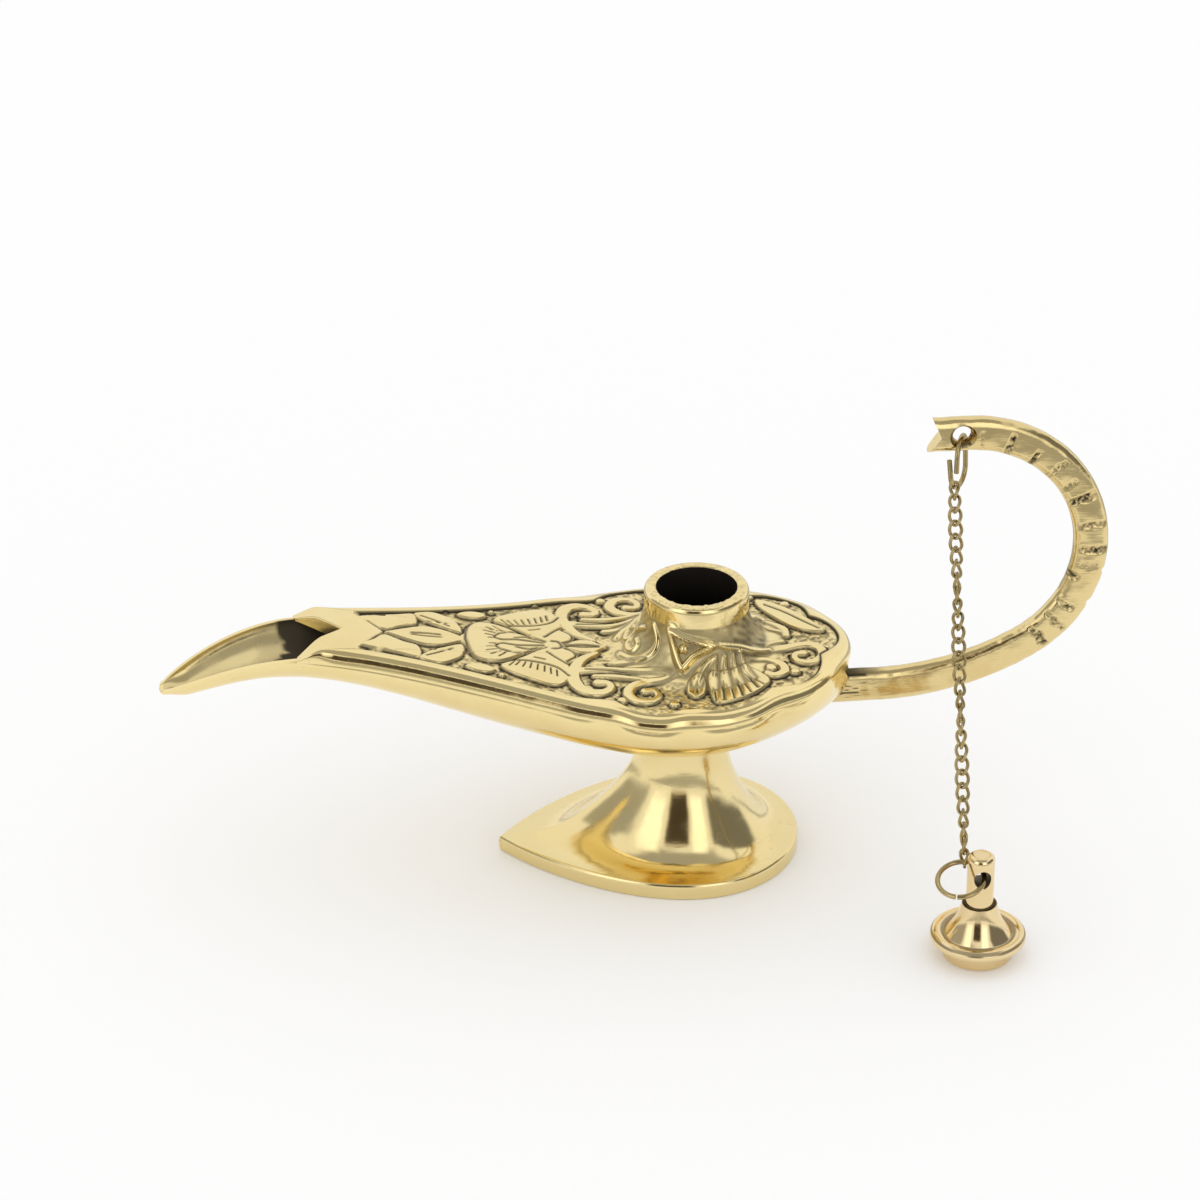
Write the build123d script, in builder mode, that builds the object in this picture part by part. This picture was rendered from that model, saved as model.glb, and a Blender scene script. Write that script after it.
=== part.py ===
from build123d import *
from math import atan2, cos, degrees, pi, radians, sin, sqrt
import os

# A cast brass oil lamp with its stopper on a chain. Sizes in millimetres, angles in degrees.
# +X runs to the handle, -X to the spout, +Z up. The origin is under the pedestal, on the table.

# Plan of the body, from the spout's tip to the stern where the handle is brazed on
spout_tip_x = -83.2
spout_root_x = -60.3
shoulder_x = -20.0
beam_x = -1.0
stern_x = 26.3
spout_half_width = 7.2
shoulder_half_width = 17.5
beam_half_width = 22.4
spout_spread = 0.08
shoulder_spread = 0.40
end_fullness = 1.7

# Side view of the body: the seam between bowl and deck, and the keel under the bowl
tip_rim_z = 33.0
root_rim_z = 40.9
beam_rim_z = 33.6
stern_rim_z = 34.9
tip_keel_z = 31.1
beak_x = -65.0
beak_keel_z = 35.5
belly_x = -30.0
belly_keel_z = 26.5
beam_keel_z = 21.4
stern_keel_z = 27.5
bowl_wall = 1.5
end_flat = 0.2
body_stations = 17

# Deck over the bowl: a plate with a polished band round a sunk panel, and the neck in its middle
deck_thickness = 2.0
deck_overhang = 0.3
deck_bevel = 0.6
deck_lap = 0.3
band_width = 2.7
panel_depth = 0.6
panel_front_x = -50.0
notch_apex_x = -54.0
prong_width = 0.9
mouth_x = 1.9
mouth_radius = 6.4
collar_radius = 8.3
collar_top_z = 47.0
collar_base_z = 43.6
collar_edge = 0.7
flare_radius = 16.5
flare_wall = 1.9
panel_crown = 0.8

# Ornament left standing on the sunk panel, flush with the band. Points on one half of the plan
centre_leaf = ((-47.4, 0), (-44.6, 1.5), (-41.2, 2.9), (-38.6, 2.5), (-36.2, 1.3), (-34.9, 0))
almond = ((-19.2, 0), (-17.8, 1.4), (-16.1, 2.1), (-14.4, 1.7), (-12.7, 0))
flower = (
    (-34.7, 0), (-34.5, 2.5), (-33.8, 4.8), (-32.3, 6.1), (-30.0, 6.0), (-27.8, 5.6), (-29.7, 7.3),
    (-28.2, 9.2), (-25.6, 10.7), (-22.3, 12.2), (-20.1, 11.5), (-19.2, 9.0), (-18.9, 6.2), (-17.2, 3.6),
    (-17.9, 1.7), (-19.4, 0),
)
throat = ((-47.4, 0.9), (-44.5, 2.6), (-42.2, 3.7), (-42.3, 6.9), (-48.6, 5.4), (-51.2, 4.5))
side_leaf = ((-42.4, 7.0), (-38.6, 3.5), (-35.5, 1.9), (-35.1, 3.8), (-36.4, 6.4), (-38.9, 8.1), (-41.0, 7.9))
bud = ((-35.4, 8.4), (-33.9, 9.5), (-32.1, 9.7), (-30.7, 8.9), (-31.7, 7.7), (-33.9, 7.4))
shell_ribs = (
    ((-0.9, 11.7), (1.2, 11.0), (1.9, 12.6), (1.2, 15.2), (-0.4, 15.6), (-1.4, 13.8)),
    ((2.2, 11.0), (3.8, 10.8), (5.1, 13.0), (5.0, 16.2), (3.4, 17.2), (2.4, 15.0)),
    ((5.0, 10.6), (6.4, 10.3), (8.2, 12.4), (8.8, 15.3), (7.4, 16.4), (6.0, 14.4)),
)
last_rib = ((7.6, 9.9), (9.0, 9.2), (11.0, 10.8), (11.6, 13.0), (10.0, 13.6), (8.6, 12.2))
long_leaf = (
    (13.2, 13.3), (15.6, 12.0), (18.6, 8.6), (21.2, 4.4), (22.6, 1.2), (20.4, 1.2), (17.5, 3.4), (13.4, 10.8),
)
front_scroll = (
    (-14.2, 2.0), (-16.6, 4.0), (-18.0, 6.8), (-18.6, 9.9), (-17.8, 12.8), (-15.9, 14.1), (-13.4, 12.6),
)
stem = ((-17.4, 7.6), (-14.8, 7.2), (-11.4, 7.2), (-8.0, 8.0), (-5.4, 9.0))
side_scroll = (
    (-3.4, 10.6), (-7.4, 11.0), (-9.6, 12.2), (-10.4, 14.4), (-9.2, 16.4), (-6.6, 16.2), (-6.2, 14.0),
)
rear_scroll = ((12.5, 4.9), (16.0, 3.4), (19.4, 2.9), (21.2, 4.6), (20.8, 7.2), (18.8, 8.4), (16.9, 7.0))
scroll_half_width = 0.9
stem_half_width = 0.7

# Foot: a waisted pedestal on a leaf-shaped plate that points to the spout
foot_round_x = 18.7
foot_point_x = -29.8
foot_half_width = 18.4
foot_fullest_x = 0.6
plate_height = 2.8
waist_radius = 7.0
flare_sink = 2.6
foot_levels = 8
seat_z = 20.6

# Screw that holds the bowl to the foot, driven from above through the mouth
screw_radius = 2.0
screw_clearance = 0.08
screw_head_radius = 3.6
screw_head_height = 2.4
screw_slot = 0.9
screw_length = 9.4
screw_hole_spare = 0.8
boss_radius = 4.4
boss_height = 3.6

# Handle: a flat bar bent to a hook, with a forked tip and a hole for the ring
handle_width = 5.6
handle_thickness = 3.0
handle_edge = 0.8
arm_z = 27.4
arm_end_x = 31.0
arm_bend_radius = 47.0
arm_bend = 30.0
hook_radius = 20.2
tip_length = 6.4
fork_depth = 1.9
fork_lip = 0.5
eye_from_tip = 5.2
eye_radius = 1.5
eye_chamfer = 0.6
groove_count = 13
groove_first = 76.0
groove_last = -60.0
groove_width = 0.5
groove_depth = 0.35

# Open ring in the handle's eye, its two ends sprung apart
ring_wire = 0.8
ring_half_width = 2.75
ring_corner = 2.6
ring_drop = 5.65
ring_lift = 0.7
ring_yaw = 23.0
ring_tail_end = -2.15
ring_hook_end = -0.15
ring_hook_out = -1.2
ring_hook_low = -0.6
ring_back_low = 0.3
ring_catch = 0.62

# Stopper: a turned cap with a drilled post, standing on the table in front of the lamp
plug_radius = 5.5
plug_height = 2.6
plug_edge = 0.4
flange_radius = 7.5
flange_thickness = 1.9
groove_radius = 5.7
cone_base_z = 4.0
cone_top_radius = 2.75
cone_top_z = 9.3
cone_hollow = 0.5
post_radius = 2.2
post_top_z = 18.0
post_edge = 0.6
post_socket = 4.0
post_clearance = 0.02
post_hole_z = 14.5
post_hole_radius = 1.3
post_hole_chamfer = 0.4

# Ring through the post, a cut jump ring that lies nearly flat
loop_wire = 0.8
loop_radius = 3.6
loop_droop = 10.0
loop_tilt = 14.0
loop_yaw = -8.0
loop_shift = 0.4
loop_catch = 116.0
loop_cut = 300.0
loop_cut_width = 5.0

# Curb chain between the two rings
link_count = 29
link_pitch = 2.05
link_wire = 0.54
link_width = 2.4
link_skew = 0.34
link_play = 0.12
chain_heading = -94.3
chain_half_turns = 3

os.makedirs("parts", exist_ok=True)


def save(piece, name):
    """Label a finished piece and write it to its own file."""
    piece.part.label = name
    export_step(piece.part, f"parts/{name}.step")


# Curves of the body


def eased(x, x0, y0, slope0, x1, y1, slope1):
    """Height at x of a smooth curve between two points with the slopes given there."""
    span = x1 - x0
    t = (x - x0) / span
    from_start = (1 + 2 * t) * (1 - t) ** 2 * y0 + t * (1 - t) ** 2 * span * slope0
    to_end = t * t * (3 - 2 * t) * y1 + t * t * (t - 1) * span * slope1
    return from_start + to_end


def rounded(full_width, ratio):
    """Half width of a rounded end, where ratio runs from 0 at its root to 1 at its tip."""
    return full_width * sqrt(max(0.0, 1 - ratio**end_fullness))


def half_width(x, inset=0.0):
    """Half width of the body's plan at x, drawn in by inset all round."""
    if x < spout_root_x:
        ratio = (spout_root_x - x) / (spout_root_x - spout_tip_x - inset)
        return rounded(spout_half_width - inset, ratio)
    if x < shoulder_x:
        width = eased(
            x, spout_root_x, spout_half_width, spout_spread,
            shoulder_x, shoulder_half_width, shoulder_spread,
        )
        return width - inset
    if x < beam_x:
        width = eased(x, shoulder_x, shoulder_half_width, shoulder_spread, beam_x, beam_half_width, 0)
        return width - inset
    ratio = (x - beam_x) / (stern_x - inset - beam_x)
    return rounded(beam_half_width - inset, ratio)


def rim_height(x):
    """Height of the seam between bowl and deck."""
    if x < spout_root_x:
        return eased(x, spout_tip_x, tip_rim_z, 0.65, spout_root_x, root_rim_z, 0)
    if x < 0:
        return eased(x, spout_root_x, root_rim_z, -0.10, 0, beam_rim_z, 0.03)
    return eased(x, 0, beam_rim_z, 0.03, stern_x, stern_rim_z, 0.05)


def keel_height(x):
    """Height of the bowl's underside on the middle line."""
    if x < beak_x:
        return eased(x, spout_tip_x, tip_keel_z, 0.30, beak_x, beak_keel_z, 0)
    if x < belly_x:
        return eased(x, beak_x, beak_keel_z, 0, belly_x, belly_keel_z, -0.29)
    if x < 0:
        return eased(x, belly_x, belly_keel_z, -0.29, 0, beam_keel_z, 0)
    return eased(x, 0, beam_keel_z, 0, stern_x, stern_keel_z, 0.40)


def stations(start, end):
    """Places along X for the sections of a loft, closer together at both ends."""
    steps = range(body_stations)
    return [(start + end) / 2 - (end - start) / 2 * cos(pi * i / (body_stations - 1)) for i in steps]


def bowl_section(x, inset, lift):
    """Half ellipse hung from the rim, closed by straight sides of height lift and a flat top."""
    width = half_width(x, inset)
    rim = rim_height(x)
    depth = rim - keel_height(x) - inset
    with BuildSketch(Plane.YZ.offset(x)) as section:
        with BuildLine():
            left = EllipticalCenterArc((0, rim), width, depth, 180, arc_size=90)
            right = EllipticalCenterArc((0, rim), width, depth, 270, arc_size=90)
            if lift:
                Polyline(right @ 1, (width, rim + lift), (-width, rim + lift), left @ 0)
            else:
                Line(right @ 1, left @ 0)
        make_face()
    return section.sketch


def crown_height(x, y):
    """Rise of the deck's crown above a flat plate at a place on its plan."""
    width = half_width(x, -deck_overhang)
    return panel_crown * width / beam_half_width * (1 - (y / width) ** 2)


def plate_section(x):
    """Strip of the deck plate across the body, with its crowned top drawn in by the bevel."""
    width = half_width(x, -deck_overhang)
    top_width = max(width - deck_bevel, end_flat)
    rim = rim_height(x)
    edge_z = rim + deck_thickness + crown_height(x, top_width)
    with BuildSketch(Plane.YZ.offset(x)) as section:
        with BuildLine():
            sides = Polyline(
                (-top_width, edge_z), (-width, rim - deck_lap), (width, rim - deck_lap), (top_width, edge_z)
            )
            ThreePointArc(sides @ 1, (0, rim + deck_thickness + crown_height(x, 0)), sides @ 0)
        make_face()
    return section.sketch


def panel_section(x):
    """Strip of the room above the sunk panel, whose crowned floor runs level with the plate's top."""
    width = half_width(x, band_width)
    rim = rim_height(x)
    floor_z = rim + deck_thickness - panel_depth
    edge_z = floor_z + crown_height(x, width)
    sky_z = rim + 2 * deck_thickness
    with BuildSketch(Plane.YZ.offset(x)) as section:
        with BuildLine():
            sides = Polyline((width, edge_z), (width, sky_z), (-width, sky_z), (-width, edge_z))
            ThreePointArc(sides @ 1, (0, floor_z + crown_height(x, 0)), sides @ 0)
        make_face()
    return section.sketch


def both_halves(points):
    """Outline across the middle line, from its far half."""
    return list(points) + [(x, -y) for x, y in reversed(points) if y]


def stroke(points, half_stroke):
    """Outline of a band along a row of points."""
    left = []
    right = []
    for number, (x, y) in enumerate(points):
        before = points[max(number - 1, 0)]
        after = points[min(number + 1, len(points) - 1)]
        run = Vector(after[0] - before[0], after[1] - before[1], 0).normalized() * half_stroke
        left.append((x - run.Y, y + run.X))
        right.append((x + run.Y, y - run.X))
    return left + right[::-1]


def pad_outlines():
    """Outlines of all the pads: those on the middle line, those on both sides, and those on one side."""
    paired = [throat, side_leaf, bud, *shell_ribs]
    paired += [stroke(front_scroll, scroll_half_width), stroke(side_scroll, scroll_half_width)]
    paired += [stroke(stem, stem_half_width)]
    near_side = [last_rib, stroke(rear_scroll, scroll_half_width)]
    outlines = [both_halves(centre_leaf), both_halves(flower), both_halves(almond), long_leaf]
    outlines += paired
    outlines += [[(x, -y) for x, y in outline] for outline in paired + near_side]
    return outlines


# Bowl: the lower shell, which runs out into the open spout

with BuildPart() as hull:
    for station in stations(spout_tip_x + end_flat, stern_x - end_flat):
        add(bowl_section(station, 0, 0))
    loft()

with BuildPart() as cavity:
    for station in stations(spout_tip_x + bowl_wall + end_flat, stern_x - bowl_wall - end_flat):
        add(bowl_section(station, bowl_wall, deck_thickness))
    loft()

screw_seat_z = seat_z + boss_height

with BuildPart() as bowl:
    add(hull.part)
    add(cavity.part, mode=Mode.SUBTRACT)
    with BuildSketch(Plane.XY.offset(seat_z)):
        Circle(waist_radius)
    extrude(until=Until.NEXT)
    with BuildSketch(Plane.XY.offset(seat_z)):
        Circle(boss_radius)
    extrude(amount=boss_height)
    with BuildSketch(Plane.XY.offset(seat_z)):
        Circle(screw_radius + screw_clearance)
    extrude(amount=boss_height, mode=Mode.SUBTRACT)
save(bowl, "bowl")

# Deck: the upper shell with the neck and the forked front edge

flare_base_z = beam_rim_z + deck_thickness - panel_depth

with BuildPart() as pads:
    with BuildSketch(Plane.XY.offset(beam_rim_z)):
        for outline in pad_outlines():
            with BuildLine():
                Polyline(*outline, close=True)
            make_face()
    extrude(amount=collar_top_z - beam_rim_z)

with BuildPart() as panel:
    for station in stations(spout_root_x, stern_x - band_width - end_flat):
        add(panel_section(station))
    loft()
    add(pads.part, mode=Mode.SUBTRACT)
    with BuildSketch(Plane.XY):
        with BuildLine():
            Polyline(
                (panel_front_x, 0),
                (spout_root_x + panel_front_x - notch_apex_x, spout_half_width),
                (spout_tip_x, spout_half_width),
                (spout_tip_x, -spout_half_width),
                (spout_root_x + panel_front_x - notch_apex_x, -spout_half_width),
                close=True,
            )
        make_face()
    extrude(amount=2 * root_rim_z, mode=Mode.SUBTRACT)

with BuildPart() as deck:
    for station in stations(spout_root_x, stern_x + deck_overhang - end_flat):
        add(plate_section(station))
    loft()
    add(panel.part, mode=Mode.SUBTRACT)
    add(hull.part, mode=Mode.SUBTRACT)
    with BuildSketch(Plane.XZ) as neck_profile:
        with BuildLine():
            neck_foot_z = beam_rim_z + deck_thickness / 2
            base = Line((mouth_x, neck_foot_z), (mouth_x + flare_radius, neck_foot_z))
            lip = Line(base @ 1, (mouth_x + flare_radius, flare_base_z))
            flare = TangentArc(
                (mouth_x + collar_radius, collar_base_z), lip @ 1, tangent=(0, -1)
            )
            Polyline(
                flare @ 0,
                (mouth_x + collar_radius, collar_top_z - collar_edge),
                (mouth_x + collar_radius - collar_edge, collar_top_z),
                (mouth_x, collar_top_z),
                base @ 0,
            )
        make_face()
    revolve(axis=Axis((mouth_x, 0, 0), (0, 0, 1)))
    with BuildSketch(Plane.XZ):
        with BuildLine():
            inner = TangentArc(
                (mouth_x + mouth_radius, collar_base_z),
                (mouth_x + flare_radius - 2 * flare_wall, beam_rim_z),
                tangent=(0, -1),
            )
            Polyline(
                inner @ 1,
                (mouth_x + flare_radius - 2 * flare_wall, beam_rim_z - deck_thickness),
                (mouth_x, beam_rim_z - deck_thickness),
                (mouth_x, collar_top_z + deck_thickness),
                (mouth_x + mouth_radius, collar_top_z + deck_thickness),
                inner @ 0,
            )
        make_face()
    revolve(axis=Axis((mouth_x, 0, 0), (0, 0, 1)), mode=Mode.SUBTRACT)
    with BuildSketch(Plane.XY.offset(beam_rim_z)):
        with BuildLine():
            fork = spout_half_width - prong_width
            Polyline(
                (notch_apex_x, 0),
                (spout_root_x, fork),
                (spout_root_x - prong_width, fork),
                (spout_root_x - prong_width, -fork),
                (spout_root_x, -fork),
                close=True,
            )
        make_face()
    extrude(amount=collar_top_z - beam_rim_z, mode=Mode.SUBTRACT)
save(deck, "deck")


# Foot


def leaf_outline(z, spread):
    """Plan of the foot at height z, from the round waist at spread 0 to the whole leaf at spread 1."""
    bow = 0.5523

    def mix(round_value, leaf_value):
        return round_value + (leaf_value - round_value) * spread

    waist = waist_radius
    middle = mix(0, foot_fullest_x)
    side = mix(waist, foot_half_width)
    back = mix(waist, foot_round_x)
    point = mix(-waist, foot_point_x)
    fall = mix(bow * waist, 0.41 * foot_half_width)
    taper = mix(-waist, 0.82 * foot_point_x)
    with BuildSketch(Plane.XY.offset(z)) as outline:
        with BuildLine():
            for turn in (1, -1):
                Bezier(
                    (back, 0),
                    (back, turn * bow * side),
                    (middle + bow * (back - middle), turn * side),
                    (middle, turn * side),
                )
                Bezier(
                    (middle, turn * side),
                    (mix(-bow * waist, 0.4 * foot_point_x), turn * side),
                    (taper, turn * fall),
                    (point, 0),
                )
        make_face()
    return outline.sketch


def flare_spread(z):
    """Share of the way from waist to leaf at height z, a hyperbola that hugs column and plate."""
    low = plate_height - flare_sink
    at_plate = 1 / (plate_height - low)
    at_seat = 1 / (seat_z - low)
    return (1 / (z - low) - at_seat) / (at_plate - at_seat)


def foot_heights():
    """Heights of the foot's sections, close together where it spreads fastest."""
    low = plate_height - flare_sink
    growth = (seat_z - low) / flare_sink
    return [low + flare_sink * growth ** (i / (foot_levels - 1)) for i in range(foot_levels)]


with BuildPart() as foot:
    for height in foot_heights():
        add(leaf_outline(height, flare_spread(height)))
    loft()
    add(leaf_outline(0, 1))
    extrude(amount=plate_height)
    with BuildSketch(Plane.XY.offset(seat_z)):
        Circle(screw_radius + screw_clearance)
    extrude(amount=boss_height - screw_length - screw_hole_spare, mode=Mode.SUBTRACT)
save(foot, "foot")

with BuildPart() as foot_screw:
    with BuildSketch(Plane.XY.offset(screw_seat_z)):
        Circle(screw_head_radius)
    extrude(amount=screw_head_height)
    with BuildSketch(Plane.XY.offset(screw_seat_z)):
        Circle(screw_radius)
    extrude(amount=-screw_length)
    with BuildSketch(Plane.XY.offset(screw_seat_z + screw_head_height)):
        Rectangle(2 * screw_head_radius, screw_slot)
    extrude(amount=-screw_head_height / 2, mode=Mode.SUBTRACT)
save(foot_screw, "foot_screw")

# Handle

with BuildPart() as handle:
    with BuildLine(Plane.XZ) as bar_line:
        arm = Line((stern_x - 2 * handle_width, arm_z), (arm_end_x, arm_z))
        rise = JernArc(arm @ 1, (1, 0), arm_bend_radius, arm_bend)
        hook_start = (cos(radians(arm_bend)), sin(radians(arm_bend)))
        hook = JernArc(rise @ 1, hook_start, hook_radius, 180 - arm_bend)
        Line(hook @ 1, hook @ 1 - Vector(tip_length, 0, 0))
    with BuildSketch(Plane(origin=arm @ 0, x_dir=(0, 1, 0), z_dir=(1, 0, 0))):
        RectangleRounded(handle_thickness, handle_width, handle_edge)
    sweep()
    hook_top = hook @ 1
    hook_centre = hook_top - Vector(0, 0, hook_radius)
    tip_x = hook_top.X - tip_length
    eye = Vector(tip_x + eye_from_tip, 0, hook_top.Z)
    with BuildSketch(Plane.XZ):
        with BuildLine():
            Polyline(
                (tip_x + fork_depth, eye.Z),
                (tip_x - fork_lip, eye.Z + handle_width / 2 - fork_lip),
                (tip_x - fork_lip, eye.Z - handle_width / 2),
                close=True,
            )
        make_face()
    extrude(amount=handle_thickness, both=True, mode=Mode.SUBTRACT)
    with Locations(Plane(origin=eye, z_dir=(0, -1, 0))):
        Hole(eye_radius)
    round_edges = handle.edges().filter_by(GeomType.CIRCLE)
    chamfer(round_edges.filter_by(lambda edge: edge.radius == eye_radius), eye_chamfer)
    for side in (1, -1):
        with BuildSketch(Plane.XZ.offset(side * (handle_thickness / 2 - groove_depth))):
            with Locations((hook_centre.X, hook_centre.Z)):
                with PolarLocations(
                    hook_radius, groove_count, groove_first, groove_last - groove_first, endpoint=True
                ):
                    Rectangle(handle_width - 2 * handle_edge, groove_width)
        extrude(amount=side * handle_thickness, mode=Mode.SUBTRACT)
    add(hull.part, mode=Mode.SUBTRACT)
save(handle, "handle")

# Open ring in the eye. Its plane stands upright, nearly along the eye

ring_along = Vector(sin(radians(ring_yaw)), cos(radians(ring_yaw)), 0)
ring_out = Vector(cos(radians(ring_yaw)), -sin(radians(ring_yaw)), 0)
ring_centre = eye - Vector(0, 0, ring_lift + ring_half_width)

with BuildPart() as top_ring:
    with BuildLine(Plane(origin=ring_centre, x_dir=ring_along, z_dir=ring_out)) as ring_line:
        FilletPolyline(
            (-ring_half_width, ring_hook_end, ring_hook_out),
            (-ring_half_width, -ring_drop, ring_hook_low),
            (ring_half_width, -ring_drop, ring_back_low),
            (ring_half_width, ring_half_width, 0),
            (-ring_half_width, ring_half_width, 0),
            (-ring_half_width, ring_tail_end, 0),
            radius=ring_corner,
        )
    with BuildSketch(Plane(origin=ring_line.line @ 0, z_dir=ring_line.line % 0)):
        Circle(ring_wire / 2)
    sweep()
save(top_ring, "top_ring")

low_corners = ring_line.edges().filter_by(GeomType.CIRCLE).sort_by(Axis.Z)[:2]
hook_corner = low_corners.sort_by(Axis.Y)[0]
chain_top = hook_corner @ ring_catch
ring_tangent = hook_corner % ring_catch

# Where the stopper stands: the chain is pulled straight, and the table sets its lower end

loop_back = Vector(sin(radians(loop_yaw)), cos(radians(loop_yaw)), 0) * cos(radians(loop_tilt))
loop_back = loop_back + Vector(0, 0, sin(radians(loop_tilt)))
loop_out = Vector(-cos(radians(loop_droop)), 0, -sin(radians(loop_droop)))
loop_out = (loop_out - loop_back * loop_out.dot(loop_back)).normalized()
catch = radians(loop_catch)
catch_offset = loop_out * (loop_radius * (1 + cos(catch)) - loop_shift)
catch_offset = catch_offset + loop_back * (loop_radius * sin(catch))

link_length = link_pitch + link_wire + link_play
top_hold = (ring_wire + link_wire) / 2 + link_play
bottom_hold = (loop_wire + link_wire) / 2 + link_play
chain_span = (link_count - 1) * link_pitch + link_length - top_hold - bottom_hold
chain_drop = chain_top.Z - post_hole_z - catch_offset.Z
chain_reach = sqrt(chain_span**2 - chain_drop**2)
heading = radians(chain_heading)
chain_bottom = chain_top + Vector(chain_reach * cos(heading), chain_reach * sin(heading), -chain_drop)
chain_down = (chain_bottom - chain_top).normalized()
post_eye = chain_bottom - catch_offset
stopper_place = Location((post_eye.X, post_eye.Y, 0))

# Stopper cap and post

with BuildPart() as cap_blank:
    with BuildSketch(Plane.XZ):
        with BuildLine():
            under = Polyline(
                (0, 0), (plug_radius - plug_edge, 0), (plug_radius, plug_edge), (plug_radius, plug_height)
            )
            bead_in = flange_radius - flange_thickness / 2
            step = Line(under @ 1, (bead_in, plug_height))
            bead = ThreePointArc(
                step @ 1,
                (flange_radius, plug_height + flange_thickness / 2),
                (bead_in, plug_height + flange_thickness),
            )
            groove = Polyline(
                bead @ 1, (groove_radius, cone_base_z), (groove_radius - plug_edge, cone_base_z)
            )
            cone = SagittaArc(groove @ 1, (cone_top_radius, cone_top_z), cone_hollow)
            Polyline(cone @ 1, (0, cone_top_z), (0, 0))
        make_face()
    revolve(axis=Axis.Z)
    with BuildSketch(Plane.XY.offset(cone_top_z - post_socket)):
        Circle(post_radius + post_clearance)
    extrude(amount=post_socket, mode=Mode.SUBTRACT)

with BuildPart() as stopper_cap:
    with Locations(stopper_place):
        add(cap_blank.part)
save(stopper_cap, "stopper_cap")

with BuildPart() as post_blank:
    with BuildSketch(Plane.XY.offset(cone_top_z - post_socket)):
        Circle(post_radius)
    extrude(amount=post_top_z - cone_top_z + post_socket)
    fillet(post_blank.edges().group_by(Axis.Z)[-1], post_edge)
    with Locations(Plane(origin=(0, 0, post_hole_z), z_dir=(0, -1, 0))):
        Cylinder(post_hole_radius, 3 * post_radius, mode=Mode.SUBTRACT)
        for side in (1, -1):
            with Locations((0, 0, side * post_radius)):
                Cone(
                    post_hole_radius + (post_hole_chamfer if side < 0 else 0),
                    post_hole_radius + (post_hole_chamfer if side > 0 else 0),
                    2 * post_hole_chamfer,
                    mode=Mode.SUBTRACT,
                )

with BuildPart() as stopper_post:
    with Locations(stopper_place):
        add(post_blank.part)
save(stopper_post, "stopper_post")

# Ring through the post

loop_centre = post_eye + loop_out * (loop_radius - loop_shift)
loop_axis = loop_out.cross(loop_back)
cut_angle = radians(loop_cut)
cut_direction = loop_out * cos(cut_angle) + loop_back * sin(cut_angle)
cut_point = loop_centre + cut_direction * loop_radius

with BuildPart() as bottom_ring:
    with BuildSketch(Plane(origin=cut_point, x_dir=cut_direction, z_dir=loop_axis.cross(cut_direction))):
        Circle(loop_wire / 2)
    revolve(axis=Axis(loop_centre, loop_axis), revolution_arc=360 - loop_cut_width)
save(bottom_ring, "bottom_ring")

# Curb links. A link is a flat loop twisted along its length, made of two like halves of four arcs each

half_length = link_length / 2
half_across = (link_width - link_wire) / 2
end_point = Vector(0, 0, half_length)
end_direction = Vector(half_across, 2 * link_skew, 0).normalized()
side_point = Vector(half_across, 0, 0)
side_direction = Vector(0, -2 * link_skew, -half_length).normalized()


def arcs_meet(start, start_direction, end, end_direction):
    """Point where two arcs meet that leave start and reach end in the given directions."""
    chord = end - start
    turn = start_direction + end_direction
    square = 2 * (1 - start_direction.dot(end_direction))
    along = chord.dot(turn)
    length = (sqrt(along**2 + square * chord.dot(chord)) - along) / square
    return (start + end + (start_direction - end_direction) * length) * 0.5


def flipped(vector, signs):
    """The vector in one of the two like quarters of half a link."""
    return Vector(vector.X * signs[0], vector.Y * signs[1], vector.Z * signs[2])


quarters = ((1, 1, 1), (1, -1, -1))
meeting_point = arcs_meet(end_point, end_direction, side_point, side_direction)

with BuildPart() as half_link:
    with BuildLine() as link_line:
        for quarter in quarters:
            TangentArc(
                flipped(end_point, quarter),
                flipped(meeting_point, quarter),
                tangent=flipped(end_direction, quarter),
            )
            TangentArc(
                flipped(side_point, quarter),
                flipped(meeting_point, quarter),
                tangent=flipped(side_direction, quarter) * -1,
            )
    with BuildSketch(Plane(origin=end_point, z_dir=end_direction)):
        Circle(link_wire / 2)
    sweep()

with BuildPart() as link:
    with PolarLocations(0, 2):
        add(half_link.part)

# The chain turns evenly about its line, so that its first and last links cross the rings squarely

chain_side = Vector(1, 0, 0) - chain_down * chain_down.X
chain_side = chain_side.normalized()
chain_front = chain_down.cross(chain_side)


def angle_round_chain(direction):
    """Angle of a direction about the chain's line, from its side."""
    return degrees(atan2(direction.dot(chain_front), direction.dot(chain_side)))


link_tilt = degrees(atan2(2 * link_skew, half_across))
loop_tangent = loop_back * cos(catch) - loop_out * sin(catch)
first_turn = angle_round_chain(ring_tangent) + 90 + link_tilt
last_turn = angle_round_chain(loop_tangent) + 90 - link_tilt
whole_turn = (last_turn - first_turn) % 180 - 180 * chain_half_turns
link_twist = whole_turn / (link_count - 1)

first_centre = chain_top + chain_down * (half_length - top_hold)
for number in range(link_count):
    turn = radians(first_turn + link_twist * number)
    link_side = chain_side * cos(turn) + chain_front * sin(turn)
    link_centre = first_centre + chain_down * (link_pitch * number)
    link_plane = Plane(origin=link_centre, x_dir=link_side, z_dir=chain_down)
    with BuildPart() as chain_link:
        with Locations(link_plane.location):
            add(link.part)
    save(chain_link, f"chain_link_{number + 1:02d}")
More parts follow.
